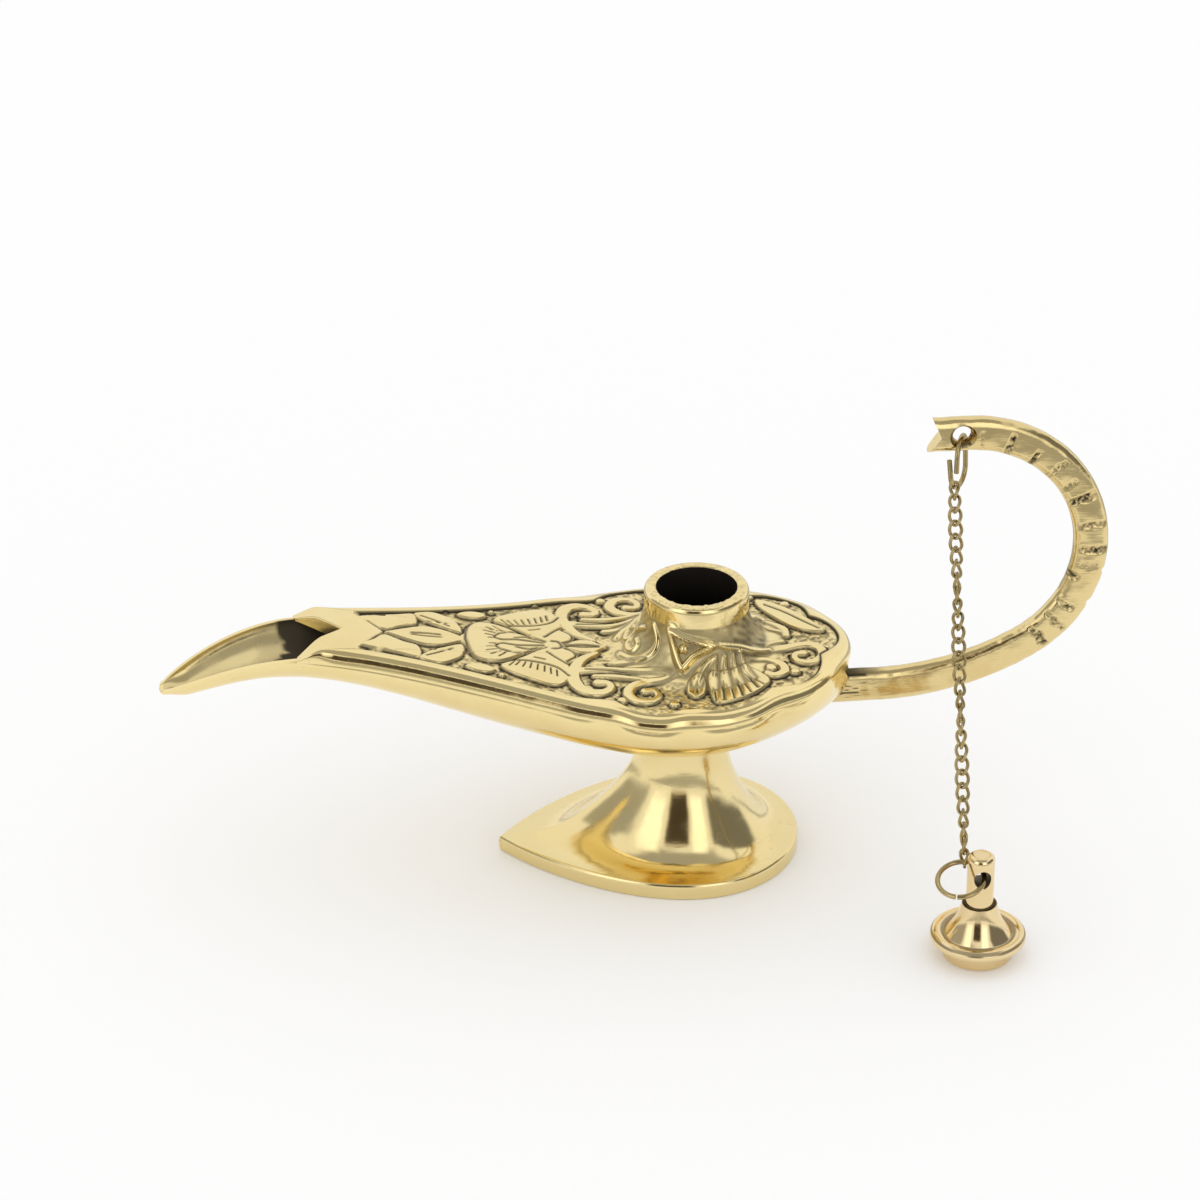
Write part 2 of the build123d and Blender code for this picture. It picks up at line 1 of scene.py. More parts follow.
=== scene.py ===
import math
import bpy
import numpy as np
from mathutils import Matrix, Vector


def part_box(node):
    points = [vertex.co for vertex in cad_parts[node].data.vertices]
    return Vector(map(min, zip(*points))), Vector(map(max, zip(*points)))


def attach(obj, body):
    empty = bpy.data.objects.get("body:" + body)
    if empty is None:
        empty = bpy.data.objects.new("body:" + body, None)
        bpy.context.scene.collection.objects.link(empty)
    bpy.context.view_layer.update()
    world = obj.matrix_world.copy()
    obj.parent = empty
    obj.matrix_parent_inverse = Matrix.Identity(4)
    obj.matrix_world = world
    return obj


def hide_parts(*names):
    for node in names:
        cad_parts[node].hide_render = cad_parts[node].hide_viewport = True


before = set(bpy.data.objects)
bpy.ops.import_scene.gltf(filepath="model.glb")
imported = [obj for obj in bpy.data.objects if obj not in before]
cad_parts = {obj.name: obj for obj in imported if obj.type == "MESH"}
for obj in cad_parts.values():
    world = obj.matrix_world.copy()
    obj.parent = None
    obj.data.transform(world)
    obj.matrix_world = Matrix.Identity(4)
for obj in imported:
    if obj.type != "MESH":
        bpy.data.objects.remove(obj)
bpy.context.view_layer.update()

bl_info = {
    "name": "Genie oil lamp",
    "version": (1, 0, 0),
    "blender": (4, 5, 0),
    "location": "View3D > Sidebar > Lamp",
    "description": "Builds a cast brass oil lamp with an engraved deck, a hooked handle "
                   "and a stopper on a chain",
    "category": "Add Mesh",
}

MM = 0.001
TAU = 2 * math.pi

# Body curves, in millimetres, as in the part's source
SPOUT_TIP_X = -83.2
SPOUT_ROOT_X = -60.3
SHOULDER_X = -20.0
BEAM_X = -1.0
STERN_X = 26.3
SPOUT_HALF = 7.2
SHOULDER_HALF = 17.5
BEAM_HALF = 22.4
END_FULLNESS = 1.7
DECK_THICKNESS = 2.0
DECK_OVERHANG = 0.3
MOUTH_X = 1.9
MOUTH_RADIUS = 6.4
COLLAR_RADIUS = 8.3
COLLAR_TOP_Z = 47.0
COLLAR_BASE_Z = 43.6
FLARE_CENTRE_R = 16.91
FLARE_ARC = 8.61
NOTCH_APEX_X = -54.1
PRONG_END_X = -61.6
SHOULDER_SLOPE = 0.40

# Heights of the seam and of the keel, from the spout's tip to the stern
TIP_RIM_Z, ROOT_RIM_Z, BEAM_RIM_Z, STERN_RIM_Z = 33.0, 40.9, 33.6, 34.9
BEAM_RIM_SLOPE = 0.03
SPOUT_KEEL_X, BELLY_KEEL_X = -65, -30
TIP_KEEL_Z, SPOUT_KEEL_Z, BELLY_KEEL_Z, FOOT_KEEL_Z, STERN_KEEL_Z = 31.1, 35.5, 26.5, 21.4, 27.5
BELLY_KEEL_SLOPE = -0.29

# Scallops: where two lobes meet, and how far the last one fades out along the rim
CUSPS_X = (24.3, 13.6, -1.6, -14.0)
SCALLOP_FADE = 4.5


# Small numeric tools


def smooth(low, high, value):
    """Ease from 0 at low to 1 at high."""
    t = np.clip((value - low) / (high - low), 0, 1)
    return t * t * (3 - 2 * t)


def mix(a, b, share):
    """Blend of two values."""
    return a + (b - a) * share


def bell(value, width):
    """1 at 0, falling off softly over the given width."""
    return np.exp(-((value / width) ** 2))


def eased(x, x0, y0, slope0, x1, y1, slope1):
    """Height at x of a smooth curve between two points with the slopes given there."""
    span = x1 - x0
    t = (x - x0) / span
    from_start = (1 + 2 * t) * (1 - t) ** 2 * y0 + t * (1 - t) ** 2 * span * slope0
    return from_start + t * t * (3 - 2 * t) * y1 + t * t * (t - 1) * span * slope1


def half_width(x):
    """Half width of the body's plan at x."""
    x = np.asarray(x, float)
    spout_ratio = np.clip((SPOUT_ROOT_X - x) / (SPOUT_ROOT_X - SPOUT_TIP_X), 0, 1)
    stern_ratio = np.clip((x - BEAM_X) / (STERN_X - BEAM_X), 0, 1)
    return np.select(
        [x < SPOUT_ROOT_X, x < SHOULDER_X, x < BEAM_X],
        [
            SPOUT_HALF * np.sqrt(1 - spout_ratio**END_FULLNESS),
            eased(x, SPOUT_ROOT_X, SPOUT_HALF, 0.08, SHOULDER_X, SHOULDER_HALF, SHOULDER_SLOPE),
            eased(x, SHOULDER_X, SHOULDER_HALF, SHOULDER_SLOPE, BEAM_X, BEAM_HALF, 0),
        ],
        BEAM_HALF * np.sqrt(1 - stern_ratio**END_FULLNESS),
    )


def rim_height(x):
    """Height of the seam between bowl and deck."""
    x = np.asarray(x, float)
    return np.select(
        [x < SPOUT_ROOT_X, x < 0],
        [
            eased(x, SPOUT_TIP_X, TIP_RIM_Z, 0.65, SPOUT_ROOT_X, ROOT_RIM_Z, 0),
            eased(x, SPOUT_ROOT_X, ROOT_RIM_Z, -0.10, 0, BEAM_RIM_Z, BEAM_RIM_SLOPE),
        ],
        eased(x, 0, BEAM_RIM_Z, BEAM_RIM_SLOPE, STERN_X, STERN_RIM_Z, 0.05),
    )


def keel_height(x):
    """Height of the bowl's underside on the middle line."""
    x = np.asarray(x, float)
    return np.select(
        [x < SPOUT_KEEL_X, x < BELLY_KEEL_X, x < 0],
        [
            eased(x, SPOUT_TIP_X, TIP_KEEL_Z, 0.30, SPOUT_KEEL_X, SPOUT_KEEL_Z, 0),
            eased(x, SPOUT_KEEL_X, SPOUT_KEEL_Z, 0, BELLY_KEEL_X, BELLY_KEEL_Z, BELLY_KEEL_SLOPE),
            eased(x, BELLY_KEEL_X, BELLY_KEEL_Z, BELLY_KEEL_SLOPE, 0, FOOT_KEEL_Z, 0),
        ],
        eased(x, 0, FOOT_KEEL_Z, 0, STERN_X, STERN_KEEL_Z, 0.40),
    )


def speckle(x, y, size, seed):
    """Smooth random field between 0 and 1 with grains of the given size."""
    table = np.random.RandomState(seed).rand(256, 256)
    u, v = np.asarray(x) / size, np.asarray(y) / size
    i, j = np.floor(u).astype(int), np.floor(v).astype(int)
    a, b = u - i, v - j
    a, b = a * a * (3 - 2 * a), b * b * (3 - 2 * b)
    i0, j0, i1, j1 = i % 256, j % 256, (i + 1) % 256, (j + 1) % 256
    low = mix(table[i0, j0], table[i1, j0], a)
    high = mix(table[i0, j1], table[i1, j1], a)
    return mix(low, high, b)


def smooth_path(points, step=0.35, closed=False):
    """Points along a smooth curve through the given ones. Columns past the second are carried along."""
    p = np.asarray(points, float)
    if closed:
        p = np.vstack([p[-1], p, p[0], p[1]])
    else:
        p = np.vstack([2 * p[0] - p[1], p, 2 * p[-1] - p[-2]])
    out = []
    for a, b, c, d in zip(p[:-3], p[1:-2], p[2:-1], p[3:]):
        count = max(2, int(np.hypot(*(c - b)[:2]) / step))
        t = (np.arange(count) / count)[:, None]
        out.append(
            0.5 * (2 * b + (c - a) * t + (2 * a - 5 * b + 4 * c - d) * t**2 + (3 * b - a - 3 * c + d) * t**3)
        )
    if not closed:
        out.append(p[-2:-1])
    return np.vstack(out)


def path_distance(x, y, path):
    """Distance to a path, less the half width that its third column gives."""
    best = np.full(x.shape, 1e6)
    for a, b in zip(path[:-1], path[1:]):
        run = b[:2] - a[:2]
        length = max(run @ run, 1e-12)
        t = np.clip(((x - a[0]) * run[0] + (y - a[1]) * run[1]) / length, 0, 1)
        gap = np.hypot(x - a[0] - t * run[0], y - a[1] - t * run[1])
        if len(a) > 2:
            gap = gap - (a[2] + (b[2] - a[2]) * t)
        np.minimum(best, gap, out=best)
    return best


def leaf_distance(x, y, path):
    """Signed distance to a closed outline, negative inside."""
    ring = np.vstack([path, path[:1]])
    gap = path_distance(x, y, ring[:, :2])
    inside = np.zeros(x.shape, bool)
    for a, b in zip(ring[:-1], ring[1:]):
        crosses = (a[1] > y) != (b[1] > y)
        at = a[0] + (y - a[1]) * (b[0] - a[0]) / (b[1] - a[1] if b[1] != a[1] else 1e-9)
        inside ^= crosses & (x < at)
    return np.where(inside, -gap, gap)


# Mesh tools


def make_piece(name, points, quads, polygons=(), patina_and_shade=None, ground=None, sharp=38):
    """New mesh object from millimetre points, with its patina field, which also holds painted shade, and its
    ground field as point attributes.
    """
    points = np.asarray(points, float).reshape(-1, 3)
    quads = np.asarray(quads, np.int32).reshape(-1, 4)
    extra = [np.asarray(p, np.int32) for p in polygons]
    loops = np.concatenate([quads.ravel()] + extra)
    sizes = np.concatenate([np.full(len(quads), 4), [len(p) for p in extra]]).astype(np.int32)
    starts = np.concatenate([[0], np.cumsum(sizes)[:-1]]).astype(np.int32)
    mesh = bpy.data.meshes.new(name)
    mesh.vertices.add(len(points))
    mesh.vertices.foreach_set("co", (points * MM).ravel())
    mesh.loops.add(len(loops))
    mesh.loops.foreach_set("vertex_index", loops.astype(np.int32))
    mesh.polygons.add(len(sizes))
    mesh.polygons.foreach_set("loop_start", starts)
    mesh.update(calc_edges=True)
    mesh.validate()
    for field, values in (("patina_and_shade", patina_and_shade), ("ground", ground)):
        layer = mesh.attributes.new(field, "FLOAT", "POINT")
        if values is not None:
            layer.data.foreach_set("value", np.asarray(values, np.float32).ravel())
    finish_shading(mesh, sharp)
    obj = bpy.data.objects.new(name, mesh)
    bpy.context.collection.objects.link(obj)
    return obj


def finish_shading(mesh, sharp):
    """Smooth faces with crisp edges where they meet at more than the given angle."""
    mesh.polygons.foreach_set("use_smooth", np.ones(len(mesh.polygons), bool))
    mesh.set_sharp_from_angle(angle=math.radians(sharp))


def grid_quads(rows, columns, wrap_rows=False, wrap_columns=False):
    """Quads of a grid of points, row by row."""
    r = np.arange(rows if wrap_rows else rows - 1)
    c = np.arange(columns if wrap_columns else columns - 1)
    a, b = np.meshgrid(r, c, indexing="ij")
    a2, b2 = (a + 1) % rows, (b + 1) % columns
    corners = [a * columns + b, a * columns + b2, a2 * columns + b2, a2 * columns + b]
    return np.stack(corners, -1).reshape(-1, 4)


def carve(obj, cutter, sharp=38):
    """Take the cutter's form out of a piece and delete the cutter."""
    cut = obj.modifiers.new("cut", "BOOLEAN")
    cut.operation = "DIFFERENCE"
    cut.solver = "EXACT"
    cut.object = cutter
    view = bpy.context.evaluated_depsgraph_get()
    mesh = bpy.data.meshes.new_from_object(obj.evaluated_get(view))
    obj.modifiers.clear()
    obj.data = mesh
    bpy.data.objects.remove(cutter)
    finish_shading(mesh, sharp)


def rounded_profile(corners, steps=6):
    """Profile through (radius, height, rounding) corners, each rounded off by an arc."""
    out = []
    for k, (r, z, bend) in enumerate(corners):
        if not bend or k in (0, len(corners) - 1):
            out.append((r, z))
            continue
        here = np.array([r, z])
        a = np.array(corners[k - 1][:2]) - here
        b = np.array(corners[k + 1][:2]) - here
        a, b = a / np.linalg.norm(a), b / np.linalg.norm(b)
        start, end = here + a * bend, here + b * bend
        for t in np.linspace(0, 1, steps):
            out.append(tuple((1 - t) ** 2 * start + 2 * t * (1 - t) * here + t * t * end))
    return np.array(out)


def lathe(profile, centre, count):
    """Grid points of a turned form, one row for each profile point."""
    turn = np.arange(count) * TAU / count
    x = centre[0] + profile[:, :1] * np.cos(turn)
    y = centre[1] + profile[:, :1] * np.sin(turn)
    z = np.repeat(profile[:, 1:], count, 1)
    return np.stack([x, y, z], -1)


def end_faces(rows, columns, flip=False):
    """Faces that close the first and the last row of a grid."""
    first, last = list(range(columns)), list(range((rows - 1) * columns, rows * columns))
    return [first, last[::-1]] if flip else [first[::-1], last]


def closed_piece(name, grid, patina_and_shade=None, sharp=38, flip=False):
    """Piece from a grid whose rows run round, closed at both ends."""
    rows, columns = grid.shape[:2]
    quads = grid_quads(rows, columns, wrap_columns=True)
    if flip:
        quads = quads[:, ::-1]
    return make_piece(name, grid, quads, end_faces(rows, columns, flip), patina_and_shade, sharp=sharp)


def drill(obj, name, half, centre, count, dark=False):
    """Bore a hole along Y. Its profile runs from one end to the middle, and the other half mirrors it."""
    turned = lathe(np.array(half + [(r, -h) for r, h in half[::-1]]), (0, 0), count)
    x, y, z = centre[0] + turned[..., 0], centre[1] + turned[..., 2], centre[2] + turned[..., 1]
    patina_and_shade = np.ones(x.shape) if dark else None
    carve(obj, closed_piece(name, np.stack([x, y, z], -1), patina_and_shade, flip=True), 50)


def coat(obj, material):
    """Give a piece one material."""
    obj.data.materials.clear()
    obj.data.materials.append(material)


def dress(obj, body, slot, material, *nodes):
    """Give a piece its finish and body, and let it stand for the nodes it replaces."""
    coat(obj, material)
    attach(obj, body)
    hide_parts(*nodes)


# Scalloped outline of the deck


class Outline:
    """One side of the deck's plan from the stern forward, with the scallops of its rear half."""

    def __init__(self, depth):
        stern = STERN_X + DECK_OVERHANG
        turn = np.linspace(0, 1, 4001)
        x = stern - (stern - PRONG_END_X) * (1 - np.cos(turn * math.pi / 2))
        grow = (stern - BEAM_X) / (STERN_X - BEAM_X)
        base_x = np.where(x > BEAM_X, BEAM_X + (x - BEAM_X) / grow, x)
        y = half_width(base_x) + DECK_OVERHANG * np.where(x > BEAM_X, smooth(stern, stern - 6, x), 1)
        y[0] = 0
        s = np.concatenate([[0], np.cumsum(np.hypot(np.diff(x), np.diff(y)))])
        self.length = s[-1]
        self.s = np.arange(0, self.length, 0.05)
        self.x = np.interp(self.s, s, x)
        self.y = np.interp(self.s, s, y)
        tx, ty = np.gradient(self.x, self.s), np.gradient(self.y, self.s)
        size = np.hypot(tx, ty)
        self.nx, self.ny = ty / size, -tx / size
        self.cusps = [float(np.interp(-c, -self.x, self.s)) for c in CUSPS_X]
        dip = self.scallop(self.s, False) * depth
        self.lobed_x = self.x - self.nx * dip
        self.lobed_y = np.maximum(self.y - self.ny * dip, 0)

    def scallop(self, s, sharp):
        """1 at the cusps between two lobes, 0 at the fullest part of a lobe and along the front half."""
        edges = [-self.cusps[0]] + self.cusps
        out = np.where(s > edges[-1], bell(s - edges[-1], SCALLOP_FADE), 0.0)
        for a, b in zip(edges[:-1], edges[1:]):
            t = np.clip((s - a) / (b - a), 0, 1)
            wave = 1 - np.sin(math.pi * t) if sharp else ((1 + np.cos(TAU * t)) / 2) ** 1.6
            out = np.where((s >= a) & (s <= b), wave, out)
        return out

    def width_at(self, x):
        """Half width of the scalloped plan at x."""
        order = np.argsort(self.lobed_x)
        return np.interp(x, self.lobed_x[order], self.lobed_y[order])

    def nearest(self, x, y):
        """Distance inwards from the plain outline, and the place along it."""
        step = 8
        ox, oy, os_ = self.x[::step], self.y[::step], self.s[::step]
        best = np.full(x.shape, 1e6)
        place = np.zeros(x.shape)
        for k in range(len(ox) - 1):
            rx, ry = ox[k + 1] - ox[k], oy[k + 1] - oy[k]
            t = np.clip(((x - ox[k]) * rx + (y - oy[k]) * ry) / (rx * rx + ry * ry), 0, 1)
            gap = np.hypot(x - ox[k] - t * rx, y - oy[k] - t * ry)
            closer = gap < best
            best[closer] = gap[closer]
            place[closer] = mix(os_[k], os_[k + 1], t)[closer]
        return best, place


# Engraving, laid out in millimetres on one half of the deck. Sides: 1 far, -1 near, 0 both

RAISED_LEAVES = [
    (0, [(-47.4, 0.9), (-44.5, 2.6), (-42.2, 3.7), (-42.3, 6.9), (-45.5, 6.2), (-48.6, 5.4), (-51.2, 4.5),
         (-49.3, 2.6)]),
    (0, [(-47.4, -0.2), (-44.6, 1.5), (-41.2, 2.9), (-38.6, 2.5), (-36.2, 1.3), (-34.9, 0.2),
         (-34.9, -0.4), (-44, -0.4)]),
    (0, [(-42.4, 7.0), (-40.9, 5.0), (-38.6, 3.5), (-35.5, 1.9), (-35.1, 3.8), (-36.4, 6.4), (-38.9, 8.1),
         (-41, 7.9)]),
    (0, [(-35.4, 8.4), (-33.9, 9.5), (-32.1, 9.7), (-30.7, 8.9), (-31.7, 7.7), (-33.9, 7.4)]),
    (0, [(-34.7, -0.4), (-34.5, 2.5), (-33.8, 4.8), (-32.3, 6.1), (-30, 6.0), (-28, 5.0), (-26, 3.4),
         (-23.5, 1.5), (-21, -0.4)]),
    (0, [(-29.7, 7.3), (-28.2, 9.2), (-25.6, 10.7), (-22.3, 12.2), (-20.1, 11.5), (-19.2, 9), (-18.9, 6.2),
         (-19.8, 3), (-21, 0), (-23.2, 1.6), (-25.2, 3.6), (-27.6, 5.6)]),
    (0, [(-21, -0.4), (-20.4, 3.4), (-18.7, 5.2), (-17.2, 3.6), (-17.9, 1.7), (-19.2, 0.6), (-19.4, -0.4)]),
    (0, [(-19.2, -0.2), (-17.8, 1.4), (-16.1, 2.1), (-14.4, 1.7), (-12.7, 0.2), (-12.7, -0.4),
         (-19, -0.4)]),
    (1, [(13.2, 13.3), (15.6, 12.0), (18.6, 8.6), (21.2, 4.4), (22.6, 1.2), (20.4, 1.2), (17.5, 3.4),
         (15.0, 7.2), (13.4, 10.8)]),
    (1, [(9.8, 14.6), (11.6, 15.4), (13.0, 14.6), (11.6, 13.6)]),
    (0, [(-0.8, 12.2), (0.4, 11.2), (1.6, 11.4), (1.9, 13.0), (1.2, 15.4), (-0.2, 16.2), (-1.2, 14.6)]),
    (0, [(2.3, 11.3), (4.4, 10.9), (6.6, 10.2), (8.6, 9.1), (10.8, 10.4), (12.0, 12.6), (10.6, 14.8),
         (8.2, 16.6), (5.4, 17.8), (2.9, 18.0), (2.3, 15.0)]),
    (0, [(-12.4, 4.6), (-9.2, 4.8), (-6.6, 6.4), (-9.6, 6.0), (-12.6, 5.6)]),
]

RAISED_STEMS = [
    (0, [(-14.2, 2.0, 0.5), (-16.6, 4.0, 0.8), (-18.0, 6.8, 1.0), (-18.6, 9.9, 1.1), (-17.8, 12.8, 1.1),
         (-15.9, 14.1, 1.0), (-14.0, 13.7, 0.8), (-12.9, 12.4, 0.7), (-13.4, 11.2, 0.7),
         (-14.8, 11.1, 0.9)]),
    (0, [(-17.4, 7.6, 0.9), (-14.8, 7.2, 0.8), (-11.4, 7.2, 0.7), (-8.0, 8.0, 0.6), (-5.4, 9.0, 0.5),
         (-3.4, 10.2, 0.35)]),
    (0, [(-15.2, 9.2, 0.5), (-12.2, 9.2, 0.6), (-9.2, 9.8, 0.5), (-6.6, 10.6, 0.35)]),
    (0, [(-2.6, 10.4, 0.4), (-4.8, 11.0, 0.6), (-7.4, 11.0, 0.8), (-9.6, 12.2, 0.9), (-10.4, 14.4, 0.9),
         (-9.2, 16.4, 0.8), (-7.0, 16.5, 0.7), (-5.8, 15.0, 0.6), (-6.4, 13.5, 0.6), (-7.7, 13.6, 0.8)]),
    (-1, [(6.0, 8.8, 0.4), (9.0, 6.6, 0.6), (12.5, 4.9, 0.7), (16.0, 3.4, 0.8), (19.4, 2.9, 0.8),
          (21.2, 4.6, 0.8), (20.8, 7.2, 0.8), (18.8, 8.4, 0.7), (16.9, 7.4, 0.6), (16.9, 5.8, 0.6),
          (18.2, 5.5, 0.8)]),
    (-1, [(9.4, 7.8, 0.4), (12.0, 7.2, 0.6), (14.2, 8.2, 0.8), (14.6, 10.4, 0.8), (13.0, 11.4, 0.7),
          (11.8, 10.6, 0.6)]),
    (1, [(6.0, 8.8, 0.4), (8.4, 9.6, 0.5), (10.6, 11.2, 0.6), (11.2, 13.0, 0.5)]),
    (1, [(12.2, 5.2, 0.4), (14.4, 4.4, 0.6), (16.2, 2.6, 0.7), (16.4, 0.4, 0.6)]),
    (0, [(15.4, 1.6, 0.5), (13.2, 2.6, 0.5), (11.6, 4.6, 0.4)]),
]

BEADS = [
    (-1, 12.6, 9.2, 0.9), (0, -11.6, 16.2, 0.8), (0, -22.6, 14.4, 0.7), (0, -12.2, 18.2, 0.6),
    (-1, 16.2, 10.8, 0.8), (1, 17.6, 11.2, 0.8), (0, -3.6, 17.6, 0.8), (0, -29.8, 10.2, 0.5),
    (0, -37.2, 9.6, 0.5),
]

# Fine cut lines: half width and points
CUT_LINES = [
    (0, 0.34, [(-47.6, 0.1), (-50.4, 2.0), (-53.0, 3.9), (-55.4, 5.9)]),
    (0, 0.17, [(-43.2, 0.25), (-41, 0.45), (-38.6, 0.4)]),
    (0, 0.17, [(-41.2, 6.4), (-39.2, 5.2), (-37.0, 3.6)]),
    (0, 0.24, [(-34.7, 0.0), (-34.4, 2.6), (-33.7, 4.9), (-32.2, 6.2), (-30, 6.05), (-28, 5.1), (-26, 3.5),
               (-24.2, 2.0)]),
    (0, 0.22, [(-29.2, 2.6), (-27.0, 3.3), (-24.6, 2.5), (-22.0, 0.9)]),
    (0, 0.22, [(-29.2, 2.6), (-30.0, 1.5), (-29.0, 0.6), (-26.4, 0.9), (-22.4, 0.4)]),
    (0, 0.20, [(-26.8, 1.5), (-25.2, 1.9), (-23.6, 1.3)]),
    (0, 0.22, [(-27.8, 5.6), (-25.4, 5.6), (-22.8, 6.2), (-20.6, 7.4), (-19.2, 9.4)]),
    (0, 0.22, [(-22.0, 2.4), (-20.6, 4.2), (-19.0, 6.0)]),
    (0, 0.17, [(-24.2, 4.4), (-22.6, 4.9)]),
    (0, 0.24, [(-21.0, 1.2), (-20.0, 1.0), (-19.4, 0.0)]),
    (0, 0.24, [(-18.8, 0.1), (-16.2, 0.35), (-13.6, 0.1)]),
    (0, 0.20, [(-19.0, 4.9), (-17.6, 3.4), (-17.9, 1.9), (-19.3, 0.9)]),
    (1, 0.24, [(14.4, 11.2), (17.2, 8.0), (19.8, 4.4), (21.8, 1.9)]),
    (0, 0.18, [(-16.4, 7.3), (-12.4, 7.5), (-8.4, 8.4)]),
    (0, 0.20, [(0.4, 12.3), (0.3, 15.0)]),
    (0, 0.24, [(4.0, 11.2), (4.4, 14.0), (4.2, 17.4)]),
    (0, 0.24, [(5.6, 10.8), (6.8, 13.4), (7.2, 16.6)]),
    (0, 0.24, [(7.2, 10.0), (8.8, 12.2), (9.8, 14.6)]),
    (0, 0.14, [(3.0, 15.2), (2.9, 17.6)]),
    (0, 0.14, [(5.7, 14.6), (5.8, 17.3)]),
    (0, 0.14, [(7.9, 13.6), (8.6, 15.9)]),
    (0, 0.14, [(9.6, 12.4), (10.9, 14.0)]),
]

# Short hatch strokes on the leaves: start and end
HATCH_WIDTH = 0.13
HATCHES = [
    (-31.0, 0.9, -29.9, 0.9), (-31.4, 2.0, -30.1, 1.7), (-31.6, 3.2, -29.9, 2.6), (-31.0, 4.3, -29.4, 3.2),
    (-29.8, 4.8, -28.7, 3.6), (-27.4, 7.2, -26.6, 5.9), (-26.3, 7.5, -25.7, 6.0), (-25.2, 7.8, -24.8, 6.2),
    (-24.1, 8.2, -23.8, 6.5), (-23.0, 8.6, -22.8, 6.9), (-22.0, 9.2, -21.9, 7.4), (-21.1, 9.8, -21.0, 8.0),
    (-28.4, 7.4, -27.5, 6.0),
]

# Raised ornament: half width of its edge, and height and reach of its swelling
RELIEF_EDGE = 0.24
DOME_HEIGHT = 0.10
DOME_REACH = 0.7


def each_side(side, path, x, y, margin):
    """Points that a motif drawn on one half of the deck can reach, on each side that carries it."""
    low, high = path[:, :2].min(0) - margin, path[:, :2].max(0) + margin
    for sign in (1, -1):
        if side in (0, sign):
            v = y * sign
            hit = (x > low[0]) & (x < high[0]) & (v > low[1]) & (v < high[1])
            yield hit, x[hit], v[hit]


def engraving(x, y, relief, cuts):
    """Relief height, dark patina, open ground and edge lines at points of the deck's panel."""
    near = np.full(x.shape, 1e3)
    for motifs, measure in ((RAISED_LEAVES, leaf_distance), (RAISED_STEMS, path_distance)):
        for side, points in motifs:
            path = smooth_path(points, closed=measure is leaf_distance)
            for hit, u, v in each_side(side, path, x, y, 2):
                near[hit] = np.minimum(near[hit], measure(u, v, path))
    for side, bead_x, bead_y, size in BEADS:
        for sign in (1, -1):
            if side in (0, sign):
                near = np.minimum(near, np.hypot(x - bead_x, y * sign - bead_y) - size)
    raised = smooth(RELIEF_EDGE, -RELIEF_EDGE, near)
    dome = DOME_HEIGHT * (1 - np.exp(np.minimum(near, 0) / DOME_REACH))
    grain = speckle(x, y, 0.42, 3) * 0.65 + speckle(x, y, 0.9, 5) * 0.35
    floor = -relief * (0.82 + 0.36 * (grain - 0.5))
    height = mix(floor, dome, raised)
    ground = 1 - raised
    wall = bell(np.maximum(near, 0), 0.42)
    patina_and_shade = ground * np.clip(0.24 + 1.1 * wall + 1.5 * (0.5 - grain), 0, 1)
    groove = np.zeros(x.shape)
    hatches = [(0, HATCH_WIDTH, [(a, b), (c, d)]) for a, b, c, d in HATCHES]
    for side, width, points in CUT_LINES + hatches:
        path = smooth_path(points)
        for hit, u, v in each_side(side, path, x, y, 1.2):
            groove[hit] = np.maximum(groove[hit], bell(path_distance(u, v, path), width))
    height = height - cuts * groove * raised
    patina_and_shade = np.maximum(patina_and_shade, groove * raised * 0.95)
    return height, patina_and_shade, ground, bell(near, 0.22)


# One boss on the unrolled neck, and the ribs and scrolls that climb beside it: across, down and half width
BOSS_TURN = 106.0
NECK_MM_PER_DEGREE = 0.157
BOSS_OUTLINE = [(-3.5, 0.35), (-2.6, 3.4), (-0.5, 7.2), (1.4, 4.8), (4.6, 2.9), (0.4, 1.3)]
BOSS_HEIGHT = 0.85
BOSS_BEAD = (-0.55, 3.4, 0.58)
NECK_STEMS = [
    [(-6.8, 0.9, 0.25), (-5.4, 3.2, 0.4), (-5.6, 5.4, 0.5), (-7.2, 7.4, 0.55), (-9.6, 9.0, 0.5)],
    [(-9.2, 2.6, 0.2), (-10.8, 3.6, 0.35), (-11.6, 5.4, 0.4), (-10.8, 7.2, 0.4), (-9.2, 7.0, 0.35),
     (-8.9, 5.6, 0.3), (-9.9, 5.2, 0.3)],
    [(4.8, 2.9, 0.3), (6.8, 3.7, 0.45), (8.8, 4.6, 0.5), (10.6, 5.9, 0.5), (12.0, 7.2, 0.45),
     (12.8, 8.2, 0.4)],
    [(1.5, 10.0, 0.2), (1.6, 8.6, 0.38), (2.0, 7.0, 0.45), (3.0, 5.6, 0.35), (4.2, 4.7, 0.2)],
] + [
    [(b - 0.2, 11.0, 0.15), (b, 8.8, 0.32), (b + 0.35, 6.9, 0.42), (b + 0.9, 5.0, 0.25)]
    for b in (3.3, 4.7, 6.1, 7.5)
]
NECK_RIB_HEIGHT = 0.4


